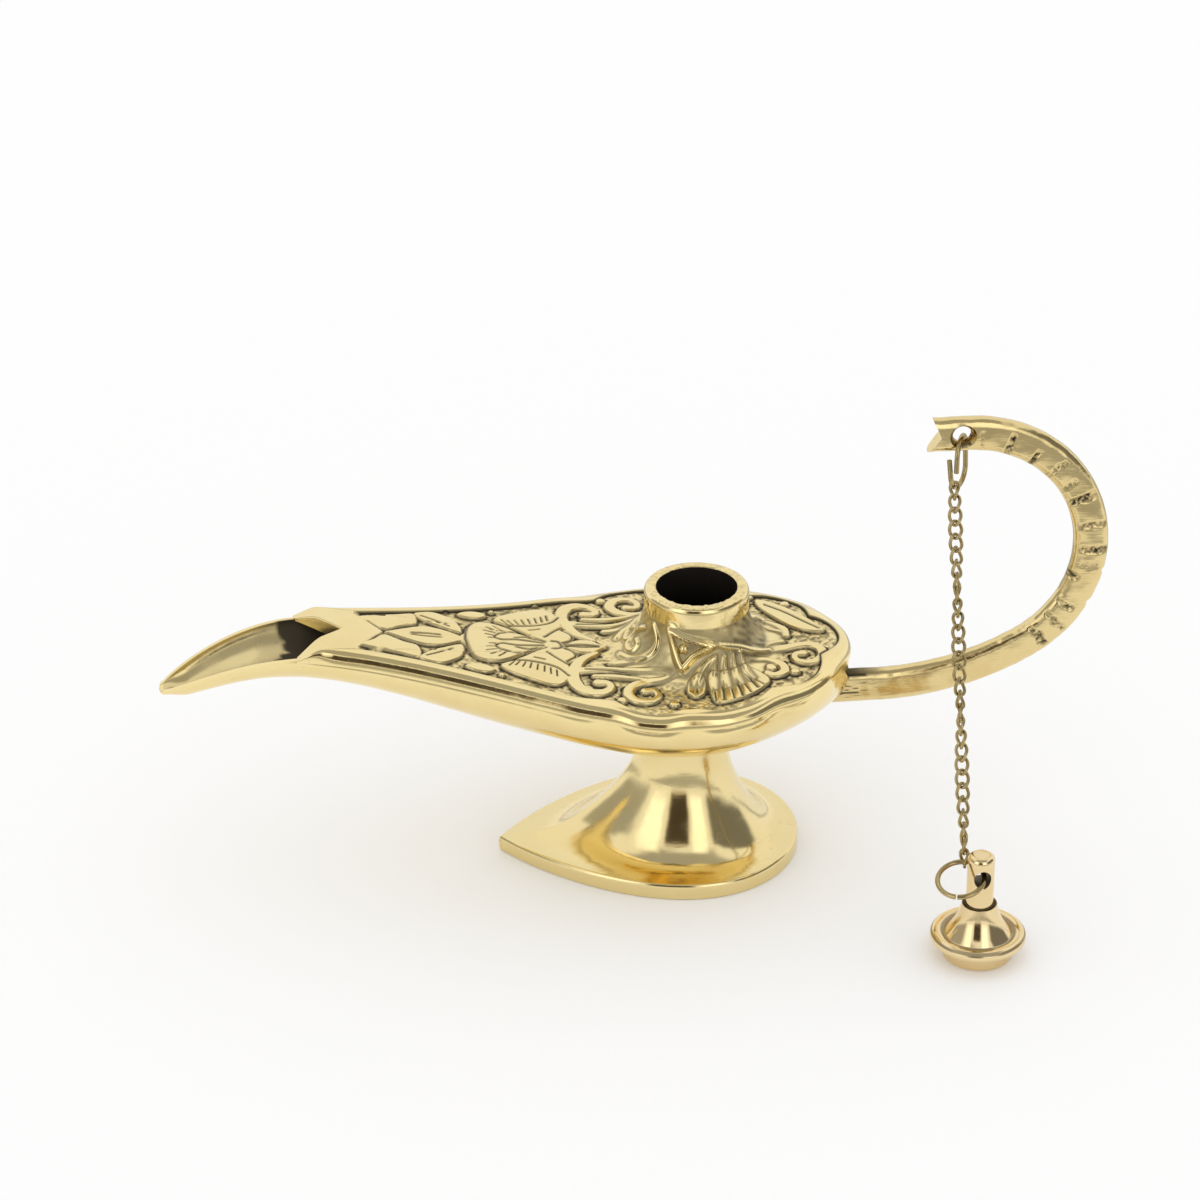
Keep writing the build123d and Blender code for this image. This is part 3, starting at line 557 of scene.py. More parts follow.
def boss_relief(x, y):
    """Height and patina of the neck's ornament: on each side a boss with its bead, and ribs."""
    r = np.hypot(x - MOUTH_X, y)
    down = FLARE_ARC * np.arccos(np.clip((FLARE_CENTRE_R - r) / FLARE_ARC, 0, 1))
    round_neck = np.degrees(np.arctan2(np.abs(y), x - MOUTH_X))
    across = (BOSS_TURN - round_neck) * NECK_MM_PER_DEGREE
    height = np.zeros(x.shape)
    patina_and_shade = np.zeros(x.shape)
    hit = (r < 13.5) & (np.abs(across) < 7)
    gap = leaf_distance(across[hit], down[hit], smooth_path(BOSS_OUTLINE, 0.25, True))
    frame_part = smooth(0.35, -0.45, gap) * BOSS_HEIGHT
    sunk = smooth(-0.75, -1.05, gap)
    bead_x, bead_down, bead_size = BOSS_BEAD
    bead = np.sqrt(np.maximum(0, bead_size - (across[hit] - bead_x) ** 2 - (down[hit] - bead_down) ** 2))
    height[hit] = frame_part * (1 - 0.95 * sunk) + bead * 0.9
    patina_and_shade[hit] = np.maximum(0.55 * sunk * (bead < 0.08), 0.45 * bell(gap - 0.35, 0.2))
    for points in NECK_STEMS:
        path = smooth_path(points, 0.25)
        for hit, u, v in each_side(1, path, across, down, 1.5):
            gap = path_distance(u, v, path)
            height[hit] = np.maximum(height[hit], NECK_RIB_HEIGHT * smooth(0.3, -0.3, gap))
            patina_and_shade[hit] = np.maximum(patina_and_shade[hit], 0.6 * bell(gap - 0.4, 0.25) * (height[hit] < 0.3))
    return height, patina_and_shade


# Properties


def length_setting(name, description, default):
    return bpy.props.FloatProperty(name=name, description=description, default=default, unit="LENGTH")


def angle_setting(name, description, degrees):
    return bpy.props.FloatProperty(
        name=name, description=description, default=math.radians(degrees), subtype="ANGLE")


def colour_setting(name, description, default):
    return bpy.props.FloatVectorProperty(
        name=name, description=description, default=default, subtype="COLOR", min=0, max=1)


class LampForm(bpy.types.PropertyGroup):
    """Sizes of the lamp's cast and engraved details."""

    lobe_depth: length_setting("Lobe depth", "How far the rim draws in between two lobes", 0.0006)
    band_width: length_setting("Band width", "Polished band round the engraved panel", 0.0027)
    rim_roll: length_setting("Rim roll", "Rounding of the deck's outer edge", 0.0014)
    relief_depth: length_setting(
        "Relief depth", "Depth of the pitted ground below the raised ornament", 0.00062)
    cut_depth: length_setting("Cut depth", "Depth of the graver's lines", 0.00030)
    crown: length_setting("Crown", "Rise of the panel along its middle", 0.0008)
    foot_edge: length_setting("Foot edge", "Rounding of the foot plate's edge", 0.0008)
    groove_depth: length_setting("Groove depth", "Depth of the handle's cross grooves", 0.00042)


class LampFinish(bpy.types.PropertyGroup):
    """Colours of the brass."""

    brass: colour_setting("Brass", "Polished brass", (0.91, 0.75, 0.38))
    warm_brass: colour_setting("Warm brass", "Brass with a thin tarnish", (0.84, 0.64, 0.27))
    # Dark colour of the patina, also used for the painted shade along the engraved panel's edge
    patina_and_shade: colour_setting("Patina", "Dark filling of the recesses", (0.020, 0.014, 0.009))
    aged_brass: colour_setting("Aged brass", "Dull wire of chain and rings", (0.52, 0.42, 0.21))


class LampStudio(bpy.types.PropertyGroup):
    """Camera and floor."""

    azimuth: angle_setting("Azimuth", "Camera's turn about the lamp", -6)
    elevation: angle_setting("Elevation", "Camera's height as an angle", 28.5)
    distance: length_setting("Distance", "Camera's distance from its target", 0.7)
    lens: bpy.props.FloatProperty(name="Lens", description="Focal length on a 36 mm sensor", default=132.0)
    floor: colour_setting("Floor", "Floor colour", (0.93, 0.93, 0.93))


def form():
    """The lamp's sizes in the scene."""
    return bpy.context.scene.lamp_form


def finish():
    """The lamp's colours in the scene."""
    return bpy.context.scene.lamp_finish


# Materials

# What marks, smudges, patina with its painted shade, and pitted ground do to the brass
MARK_DARKNESS = 0.75
MARK_LIFT = -0.4
SMUDGE_ROUGHNESS = 0.09
PATINA_ROUGHNESS = 0.5
GROUND_ROUGHNESS = 0.16
PATINA_METAL_LOSS = 0.4
BUMP_DISTANCE = 0.001
POLISH_MARK_SHARE = 0.05
HAIRLINE_SHARE = 0.4


def new_group(name, inputs, outputs):
    """Empty shader group with float sockets."""
    group = bpy.data.node_groups.new(name, "ShaderNodeTree")
    for label, value in inputs:
        socket = group.interface.new_socket(label, in_out="INPUT", socket_type="NodeSocketFloat")
        socket.default_value = value
    for label in outputs:
        group.interface.new_socket(label, in_out="OUTPUT", socket_type="NodeSocketFloat")
    return group, group.nodes.new("NodeGroupInput"), group.nodes.new("NodeGroupOutput")


def node(tree, kind, **settings):
    """New node with its settings. Values for sockets are given by name through the key 'values'."""
    made = tree.nodes.new(kind)
    for key, value in settings.items():
        if key == "values":
            for socket, amount in value.items():
                made.inputs[socket].default_value = amount
        else:
            setattr(made, key, value)
    return made


def calc(tree, operation, a, b=0.0, c=0.0):
    """Math node whose inputs are sockets or numbers."""
    made = node(tree, "ShaderNodeMath", operation=operation)
    for slot, value in enumerate((a, b, c)):
        if isinstance(value, (int, float)):
            made.inputs[slot].default_value = value
        else:
            tree.links.new(value, made.inputs[slot])
    return made.outputs[0]


def ramp(tree, value, low, high):
    """Ease a value from 0 at low to 1 at high."""
    made = node(tree, "ShaderNodeMapRange", interpolation_type="SMOOTHSTEP")
    made.inputs["From Min"].default_value = low
    made.inputs["From Max"].default_value = high
    tree.links.new(value, made.inputs["Value"])
    return made.outputs["Result"]


def noise(tree, place, scale, detail=3.0, rough=0.5):
    """Noise value over object coordinates."""
    made = node(tree, "ShaderNodeTexNoise", values={"Scale": scale, "Detail": detail, "Roughness": rough})
    tree.links.new(place, made.inputs["Vector"])
    return made.outputs["Fac"]


def hand_polish_group():
    """Height of the slow waves and fine marks that hand polishing leaves, and a mask of smudges."""
    if "Hand polish" in bpy.data.node_groups:
        return bpy.data.node_groups["Hand polish"]
    group, start, end = new_group("Hand polish", [("Waves", 1.0), ("Marks", 1.0)], ["Height", "Smudge"])
    place = node(group, "ShaderNodeTexCoord").outputs["Object"]
    waves = calc(group, "MULTIPLY", noise(group, place, 140, 2.0), start.outputs["Waves"])
    stretch = node(group, "ShaderNodeMapping")
    stretch.inputs["Scale"].default_value = (350, 2600, 2600)
    group.links.new(place, stretch.inputs["Vector"])
    marks = calc(group, "MULTIPLY", noise(group, stretch.outputs["Vector"], 1.0, 4.0), start.outputs["Marks"])
    height = calc(group, "ADD", waves, calc(group, "MULTIPLY", marks, POLISH_MARK_SHARE))
    group.links.new(height, end.inputs["Height"])
    group.links.new(ramp(group, noise(group, place, 210, 5.0, 0.65), 0.42, 0.72), end.inputs["Smudge"])
    return group


def tarnish_group():
    """Mask of warm tarnish, mask of small dark pits, and hairline marks."""
    if "Tarnish" in bpy.data.node_groups:
        return bpy.data.node_groups["Tarnish"]
    group, start, end = new_group("Tarnish", [("Spread", 0.5), ("Pits", 0.5)], ["Warm", "Pit", "Hairline"])
    place = node(group, "ShaderNodeTexCoord").outputs["Object"]
    warm = ramp(group, noise(group, place, 120, 4.0, 0.6), 0.35, 0.75)
    group.links.new(calc(group, "MULTIPLY", warm, start.outputs["Spread"]), end.inputs["Warm"])
    fine = ramp(group, noise(group, place, 2300, 2.0), 0.70, 0.78)
    patch = ramp(group, noise(group, place, 95, 2.0), 0.56, 0.70)
    pits = calc(group, "MULTIPLY", calc(group, "MULTIPLY", fine, patch), start.outputs["Pits"])
    group.links.new(pits, end.inputs["Pit"])
    bend = calc(group, "ABSOLUTE", calc(group, "SUBTRACT", noise(group, place, 150, 3.0, 0.6), 0.5))
    thin = ramp(group, bend, 0.0024, 0.0006)
    where = ramp(group, noise(group, place, 80, 1.0), 0.55, 0.66)
    shown = calc(group, "MULTIPLY", thin, where)
    amount = calc(group, "MULTIPLY", start.outputs["Pits"], HAIRLINE_SHARE)
    lines = calc(group, "MULTIPLY", shown, amount)
    group.links.new(lines, end.inputs["Hairline"])
    return group


def use_group(tree, group, values):
    """Place a group in a material with its own values."""
    made = tree.nodes.new("ShaderNodeGroup")
    made.node_tree = group
    for label, value in values.items():
        made.inputs[label].default_value = value
    return made.outputs


def blend_colour(tree, share, a, b):
    """Mix of two colours; a may be a colour or a socket."""
    made = node(tree, "ShaderNodeMix", data_type="RGBA")
    tree.links.new(share, made.inputs["Factor"])
    for name, value in (("A", a), ("B", b)):
        socket = [s for s in made.inputs if s.name == name and s.type == "RGBA"][0]
        if isinstance(value, bpy.types.NodeSocket):
            tree.links.new(value, socket)
        else:
            socket.default_value = (*value, 1)
    return [s for s in made.outputs if s.type == "RGBA"][0]


def brass_material(
        name, polish=0.10, waves=1.0, marks=1.0, spread=0.4, pits=0.4, bump=0.12, colour=None, warm=None):
    """Brass with patina in its recesses and painted shade where its dark field holds it, a thin tarnish,
    smudges and polishing marks.
    """
    if name in bpy.data.materials:
        return bpy.data.materials[name]
    looks = finish()
    material = bpy.data.materials.new(name)
    material.use_nodes = True
    tree = material.node_tree
    shader = tree.nodes["Principled BSDF"]
    polish_out = use_group(tree, hand_polish_group(), {"Waves": waves, "Marks": marks})
    tarnish_out = use_group(tree, tarnish_group(), {"Spread": spread, "Pits": pits})
    # Dark field from the mesh: patina, and on the deck also painted shade along the panel's edge
    patina_and_shade = node(tree, "ShaderNodeAttribute", attribute_name="patina_and_shade").outputs["Fac"]
    ground = node(tree, "ShaderNodeAttribute", attribute_name="ground").outputs["Fac"]
    marks_dark = calc(tree, "MAXIMUM", tarnish_out["Pit"], tarnish_out["Hairline"])
    dark = calc(tree, "MAXIMUM", patina_and_shade, calc(tree, "MULTIPLY", marks_dark, MARK_DARKNESS))
    dark = calc(tree, "MINIMUM", dark, 1.0)
    colour = blend_colour(tree, tarnish_out["Warm"], colour or looks.brass, warm or looks.warm_brass)
    colour = blend_colour(tree, dark, colour, looks.patina_and_shade)
    tree.links.new(colour, shader.inputs["Base Color"])
    metallic = calc(tree, "SUBTRACT", 1.0, calc(tree, "MULTIPLY", dark, PATINA_METAL_LOSS))
    tree.links.new(metallic, shader.inputs["Metallic"])
    rough = calc(tree, "ADD", polish, calc(tree, "MULTIPLY", polish_out["Smudge"], SMUDGE_ROUGHNESS))
    rough = calc(tree, "ADD", rough, calc(tree, "MULTIPLY", dark, PATINA_ROUGHNESS))
    rough = calc(tree, "ADD", rough, calc(tree, "MULTIPLY", ground, GROUND_ROUGHNESS))
    tree.links.new(rough, shader.inputs["Roughness"])
    lift = node(tree, "ShaderNodeBump", values={"Strength": bump, "Distance": BUMP_DISTANCE})
    pitted = calc(tree, "MULTIPLY", marks_dark, MARK_LIFT)
    tree.links.new(calc(tree, "ADD", polish_out["Height"], pitted), lift.inputs["Height"])
    tree.links.new(lift.outputs["Normal"], shader.inputs["Normal"])
    return material


def wire_material():
    """Dull olive brass of the chain and the rings."""
    looks = finish()
    return brass_material(
        "aged_wire_brass", polish=0.18, waves=0.6, marks=2.0, spread=0.8, pits=0.6, bump=0.10,
        colour=looks.aged_brass, warm=(0.34, 0.25, 0.10))


# Pieces


class LAMP_OT_bowl(bpy.types.Operator):
    """Lower shell that runs out into the open spout"""

    bl_idname = "lamp.bowl"
    bl_label = "Bowl and spout"

    stations = 380
    outer_columns = 121
    inner_columns = 91
    nose_start = 0.93
    nose_length = 0.71
    nose_angles = (80, 62, 44, 26, 12)
    scalloped_from_x = -34
    spout_wall, bowl_wall = 0.85, 1.5
    spout_floor, bowl_floor = 0.5, 1.7
    lip_rise = 0.11
    boss_ring = [(2.15, 22.0), (4.4, 22.0), (4.4, 24.2), (2.15, 24.2)]
    boss_sides = 64

    def hull(self):
        """Rings of the shell from the spout to the stern, and the dark stain inside them."""
        lobe_depth = form().lobe_depth / MM
        # Stations, closer together at both ends
        turn = np.linspace(0, 1, self.stations)
        x = (SPOUT_TIP_X + STERN_X) / 2 - (STERN_X - SPOUT_TIP_X) / 2 * np.cos(turn * math.pi)
        x = np.unique(np.clip(x, SPOUT_TIP_X + self.nose_start, STERN_X - 0.02))[:, None]
        rim, width = rim_height(x), half_width(x)
        keel = rim - (rim - keel_height(x)) * (0.45 + 0.55 * smooth(0, 5.0, x - SPOUT_TIP_X))
        plan = Outline(lobe_depth).width_at(x)
        lobed = np.where(x > self.scalloped_from_x, np.minimum(width, plan - DECK_OVERHANG), width)
        lobed = np.maximum(lobed, 0.02)
        # Outer side, with a shallow cove below the rim of each lobe
        a = np.linspace(0, math.pi, self.outer_columns)[None, :]
        depth_share = np.sin(a)
        side = mix(width, lobed, (1 - depth_share) ** 1.6)
        dip = np.clip((width + DECK_OVERHANG - plan) / lobe_depth, 0, 1)
        hollow_side = mix(0.02 + 0.66 * (1 - dip), 0.30, smooth(-14, -24, x))
        cove = hollow_side * bell(depth_share + 0.01, 0.11) * smooth(-66, -56, x) * smooth(2, 9, width)
        outer_y = (side - cove) * np.cos(a)
        outer_z = rim - (rim - keel) * depth_share
        # Inner side
        wall = mix(self.spout_wall, self.bowl_wall, smooth(-64, -52, x))
        floor_wall = mix(self.spout_floor, self.bowl_floor, smooth(-81, -62, x))
        b = np.linspace(math.pi, 0, self.inner_columns)[None, :]
        inner = np.maximum(width - wall, 0)
        hollow = np.maximum(rim - keel - floor_wall, 0) * smooth(0, 2.5, inner)
        inner_y = inner * np.cos(b)
        inner_z = rim - hollow * np.sin(b)
        # Lip between both sides
        across = np.array([0.35, 0.65])
        near_lip = mix(outer_y[:, -1:], inner_y[:, :1], across)
        far_lip = mix(outer_y[:, :1], inner_y[:, -1:], across)[:, ::-1]
        lip_z = np.repeat(rim + np.minimum(wall, width) * self.lip_rise, len(across), 1)
        y = np.concatenate([outer_y, near_lip, inner_y, far_lip], 1)
        z = np.concatenate([outer_z, lip_z, inner_z, lip_z], 1)
        # Dark stain inside, faint towards the spout's tip
        inside = np.zeros(y.shape)
        first = self.outer_columns + len(across)
        inside[:, first:first + self.inner_columns] = 1
        blot = x + 2.4 * (speckle(x, y, 2.2, 8) - 0.5) + 1.2 * (speckle(x, y, 0.7, 9) - 0.5)
        stain = 0.20 + 0.12 * smooth(-68.0, -66.0, blot) + 0.64 * smooth(-64.6, -63.4, blot)
        return np.stack([np.repeat(x, y.shape[1], 1), y, z], -1), inside * np.clip(stain, 0, 1)

    def nose(self, ring):
        """Rings that round off the spout's tip in front of its first ring."""
        centre = ring.mean(0)
        rings = []
        for a in np.radians(self.nose_angles):
            drawn_in = centre + (ring - centre) * math.cos(a)
            drawn_in[:, 0] = centre[0] - self.nose_length * math.sin(a)
            rings.append(drawn_in)
        return np.array(rings)

    def execute(self, context):
        points, patina_and_shade = self.hull()
        nose = self.nose(points[0])
        points = np.concatenate([nose, points])
        patina_and_shade = np.concatenate([np.zeros(nose.shape[:2]), patina_and_shade])
        rows, columns = patina_and_shade.shape
        quads = grid_quads(rows, columns, wrap_columns=True)[:, ::-1]
        ring = lathe(np.array(self.boss_ring), (0, 0), self.boss_sides)
        ring_quads = grid_quads(*ring.shape[:2], True, True) + rows * columns
        points = np.vstack([points.reshape(-1, 3), ring.reshape(-1, 3)])
        patina_and_shade = np.concatenate([patina_and_shade.ravel(), np.ones(ring[..., 0].size)])
        ends = end_faces(rows, columns, flip=True)
        obj = make_piece("bowl_cast", points, np.vstack([quads, ring_quads]), ends, patina_and_shade, sharp=50)
        dress(obj, "lamp", "polished_brass", brass_material("polished_hull_brass"), "bowl")
        return {"FINISHED"}


class LAMP_OT_deck(bpy.types.Operator):
    """Engraved upper shell with its scalloped rim band and flared neck"""

    bl_idname = "lamp.deck"
    bl_label = "Engraved deck"

    edge_step = 0.2
    least_roll = 0.12
    prong_inset = 0.95
    neck_blend = 0.9
    stern_band = 1.75
    scallop_reach = 2.0
    seam_gap = 0.03
    seam_width = 0.9
    bore_radius = 12.7
    bore_foot_z = 33.7
    open_rings = 15
    dark_lip_rows = 3

    def boundary(self, outline):
        """Plan of the deck once round: points, directions inwards, roundings, and 1 in the notch."""
        s = np.arange(self.edge_step / 2, outline.length, self.edge_step)
        x, y, nx, ny = (
            np.interp(s, outline.s, v) for v in (outline.lobed_x, outline.lobed_y, outline.nx, outline.ny))
        roll = form().rim_roll / MM
        size = roll * smooth(outline.length, outline.length - 7.0, s) + self.least_roll
        far = np.stack([x, y, -nx, -ny, size, np.zeros_like(x)], 1)
        share = np.linspace(0, 1, 34)[1:]
        prong_y = float(y[-1]) - self.prong_inset
        notch_y = mix(prong_y, 0.0, share)
        notch_x = NOTCH_APEX_X - (NOTCH_APEX_X - PRONG_END_X) * (notch_y / prong_y) ** 1.05
        ones = np.ones_like(share)
        inward_y = 0.6 * (notch_y > 0.05)
        half_notch = np.stack([notch_x, notch_y, ones, inward_y, self.least_roll * ones, ones], 1)
        run = np.vstack([far, half_notch])
        run = np.vstack([run, run[:-1][::-1] * np.array([1, -1, 1, -1, 1, 1])])
        run[:, 2:4] /= np.hypot(run[:, 2], run[:, 3])[:, None]
        return run

    def plate(self, x, y):
        """Height of the smooth deck without its engraving, and the share of neck in it."""
        lift = DECK_THICKNESS * smooth(PRONG_END_X - 0.6, -57.2, x)
        full = np.maximum(half_width(np.clip(x, SPOUT_TIP_X, STERN_X)) + DECK_OVERHANG, 0.5)
        crown = form().crown / MM * full / BEAM_HALF * np.clip(1 - (y / full) ** 2, 0, 1)
        plate = rim_height(x) + lift + crown
        r = np.hypot(x - MOUTH_X, y)
        rise = np.maximum(FLARE_ARC**2 - np.clip(FLARE_CENTRE_R - r, 0, FLARE_ARC) ** 2, 0)
        beyond = COLLAR_BASE_Z - FLARE_ARC - (r - FLARE_CENTRE_R) * 0.3
        neck = np.where(r > FLARE_CENTRE_R, beyond, COLLAR_BASE_Z - np.sqrt(rise))
        blend = self.neck_blend
        top = np.maximum(plate, neck) + np.maximum(blend - np.abs(plate - neck), 0) ** 2 / (4 * blend)
        return top, smooth(-0.6, 1.2, neck - plate)

    def upper_side(self, run):
        """Turns about the mouth, and points and neck share of the plain upper side."""
        px, py, ix, iy, roll = run.T[:5]
        qx, qy = px + ix * roll, py + iy * roll
        turn = np.arctan2(qy, qx - MOUTH_X)
        flare = np.radians(np.linspace(2, 72, 44))[:, None]
        flare_r = FLARE_CENTRE_R - FLARE_ARC * np.cos(flare)
        outward = np.linspace(0, 1, 226)[1:, None]
        rest_r = flare_r[-1] + outward * (np.hypot(qx - MOUTH_X, qy) - flare_r[-1])
        r = np.concatenate([np.repeat(flare_r, len(run), 1), rest_r])
        x, y = MOUTH_X + r * np.cos(turn), r * np.sin(turn)
        z, neck_share = self.plate(x, y)
        z[:len(flare)] = np.maximum(COLLAR_BASE_Z - FLARE_ARC * np.sin(flare), z[:len(flare)])
        return turn, x, y, z, neck_share

    def relief(self, outline, x, y, z, neck_share):
        """Height, dark patina with painted shade along the panel's edge, and pitted ground of everything
        raised from or cut into the upper side.
        """
        sizes = form()
        # Panel inside the scalloped band
        from_rim, place = outline.nearest(x, np.abs(y))
        last = outline.cusps[-1]
        band = mix(self.stern_band, sizes.band_width / MM - 0.4, smooth(last, last + 9, place))
        panel_edge = band + self.scallop_reach * outline.scallop(place, True)
        panel = smooth(0.0, 0.34, from_rim - panel_edge)
        # The ornament fades out towards the neck and ahead of the fork
        from_mouth = np.hypot(x - MOUTH_X, y)
        shown = smooth(12.4, 14.8, from_mouth)
        depth = panel * shown
        soft = panel * (1 - shown) * smooth(9.6, 11.0, from_mouth)
        ahead = smooth(0.15, -0.25, (np.abs(y) * 0.77 - (-47.6 - x)) / 1.26)
        kept = 1 - ahead * (x < -46)
        height, patina_and_shade, ground, rim_line = engraving(x, y, sizes.relief_depth / MM, sizes.cut_depth / MM)
        raised = 1 - ground
        height = mix(height, np.maximum(height, -0.02), ahead)
        height = (height * depth + soft * 0.30 * raised) * kept
        patina_and_shade = (patina_and_shade * depth + soft * 0.62 * rim_line) * kept
        ground = ground * panel * shown * kept
        # Dark line along the panel's edge, partly patina and partly painted shade at the foot of the band's
        # wall, and the soft shoulder inside the stern's rim
        shade = bell(from_rim - panel_edge - 0.28, 0.26) * kept
        patina_and_shade = np.maximum(patina_and_shade, shade * (x > -52) * (1 - neck_share))
        behind = smooth(last + 8, last - 2, place)
        height = height - 0.5 * (np.clip(3.2 - from_rim, 0, 1.7) / 1.7) ** 2 * behind
        # Darker neck with its ornament, darker still towards the stern
        neck_darkening = smooth(0.1, 0.9, neck_share) * (0.22 + 0.34 * speckle(x, y + z, 0.8, 17))
        neck_darkening = neck_darkening * (1 + 0.6 * smooth(MOUTH_X, MOUTH_X + 7, x))
        boss_height, boss_patina = boss_relief(x, y)
        patina_and_shade = np.maximum(patina_and_shade, neck_darkening * smooth(0.22, 0.06, boss_height))
        return height + boss_height, np.maximum(patina_and_shade, boss_patina), ground

    def moved_out(self, grid, height):
        """Grid with each point moved along its normal by the height there."""
        along = np.gradient(grid, axis=0)
        around = np.roll(grid, -1, 1) - np.roll(grid, 1, 1)
        normal = np.cross(around, along)
        normal /= np.maximum(np.linalg.norm(normal, axis=-1, keepdims=True), 1e-9)
        normal *= np.sign(normal[..., 2:])
        return grid + normal * height[..., None]

    def rim_rings(self, run, edge_z):
        """Rings over the rounded rim, down its side, and in along the seam to the bore."""
        px, py, ix, iy, roll, notch = run.T
        qx, qy = px + ix * roll, py + iy * roll
        seam = rim_height(px)
        drop = np.maximum(edge_z - seam + 0.1, 0.05) * mix(0.12, 0.96, np.clip(roll / 1.4, 0, 1))
        rings = []
        for t in np.linspace(0, 1, 12)[1:]:
            w = math.sin(t * math.pi / 2)
            level = edge_z - drop * (1 - math.cos(t * math.pi / 2))
            rings.append((mix(qx, px, w), mix(qy, py, w), level))
        low = np.where(notch > 0, seam - 0.2, seam - 0.3)
        for t in (0.35, 0.7, 1.0):
            rings.append((px, py, mix(edge_z - drop, low, t)))
        above = seam + self.seam_gap
        for step_in, level in ((0.28, low), (0.34, above), (self.seam_width, above)):
            rings.append((px + ix * step_in, py + iy * step_in, level))
        seam_x, seam_y = px + ix * self.seam_width - MOUTH_X, py + iy * self.seam_width
        seam_r, angle = np.hypot(seam_x, seam_y), np.arctan2(seam_y, seam_x)
        for t in (0.25, 0.5, 0.75, 1.0):
            r = mix(seam_r, self.bore_radius, t)
            x, y = MOUTH_X + r * np.cos(angle), r * np.sin(angle)
            rings.append((x, y, mix(rim_height(x) + self.seam_gap, self.bore_foot_z, smooth(0.5, 1, t))))
        return np.array([np.stack(ring, -1) for ring in rings])

    def mouth_rings(self, turn):
        """Turned rings up the bore, over the collar and down to the neck, and how many are in the bore."""
        span_r, span_z = self.bore_radius - MOUTH_RADIUS, COLLAR_BASE_Z - self.bore_foot_z
        bore = [(self.bore_radius - span_r * math.sin(t), COLLAR_BASE_Z - span_z * math.cos(t))
                for t in np.linspace(0, math.pi / 2, 14)[1:]]
        collar = rounded_profile([
            (MOUTH_RADIUS, COLLAR_BASE_Z + 0.6, 0), (MOUTH_RADIUS, COLLAR_TOP_Z - 0.1, 0.35),
            (7.75, COLLAR_TOP_Z, 0.5), (COLLAR_RADIUS, COLLAR_TOP_Z - 0.75, 0.35),
            (COLLAR_RADIUS, 44.6, 0), (COLLAR_RADIUS, COLLAR_BASE_Z, 0)])
        turned = np.vstack([bore, collar])
        r, z = turned[:, :1], np.repeat(turned[:, 1:], len(turn), 1)
        return np.stack([MOUTH_X + r * np.cos(turn), r * np.sin(turn), z], -1), len(bore)

    def execute(self, context):
        outline = Outline(form().lobe_depth / MM)
        run = self.boundary(outline)
        turn, x, y, z, neck_share = self.upper_side(run)
        height, patina_and_shade, ground = self.relief(outline, x, y, z, neck_share)
        top = self.moved_out(np.stack([x, y, z], -1), height)
        rim = self.rim_rings(run, top[-1, :, 2])
        mouth, bore_rows = self.mouth_rings(turn)
        points = np.concatenate([top, rim, mouth])
        rows, columns = points.shape[:2]
        rest = np.zeros((rows - len(top), columns))
        patina_and_shade, ground = np.concatenate([patina_and_shade, rest]), np.concatenate([ground, rest])
        # Dark inside, and a stippled top of the collar
        dark_end = len(top) + len(rim) + bore_rows + self.dark_lip_rows
        patina_and_shade[len(top) + self.open_rings:dark_end] = 1.0
        stipple = speckle(points[..., 0], points[..., 1], 0.5, 21)
        crest = points[..., 2] > COLLAR_TOP_Z - 0.25
        patina_and_shade = np.where(crest, np.clip(0.5 * (stipple - 0.45), 0, 1), patina_and_shade)
        ground = np.where(crest, 0.8, ground)
        points[..., 2] -= np.where(crest, 0.16 * stipple, 0)
        quads = grid_quads(rows, columns, True, True)
        obj = make_piece("deck_engraved", points, quads, (), patina_and_shade, ground, sharp=60)
        metal = brass_material("engraved_deck_brass", marks=1.6, bump=0.10)
        dress(obj, "lamp", "polished_brass", metal, "deck")
        return {"FINISHED"}


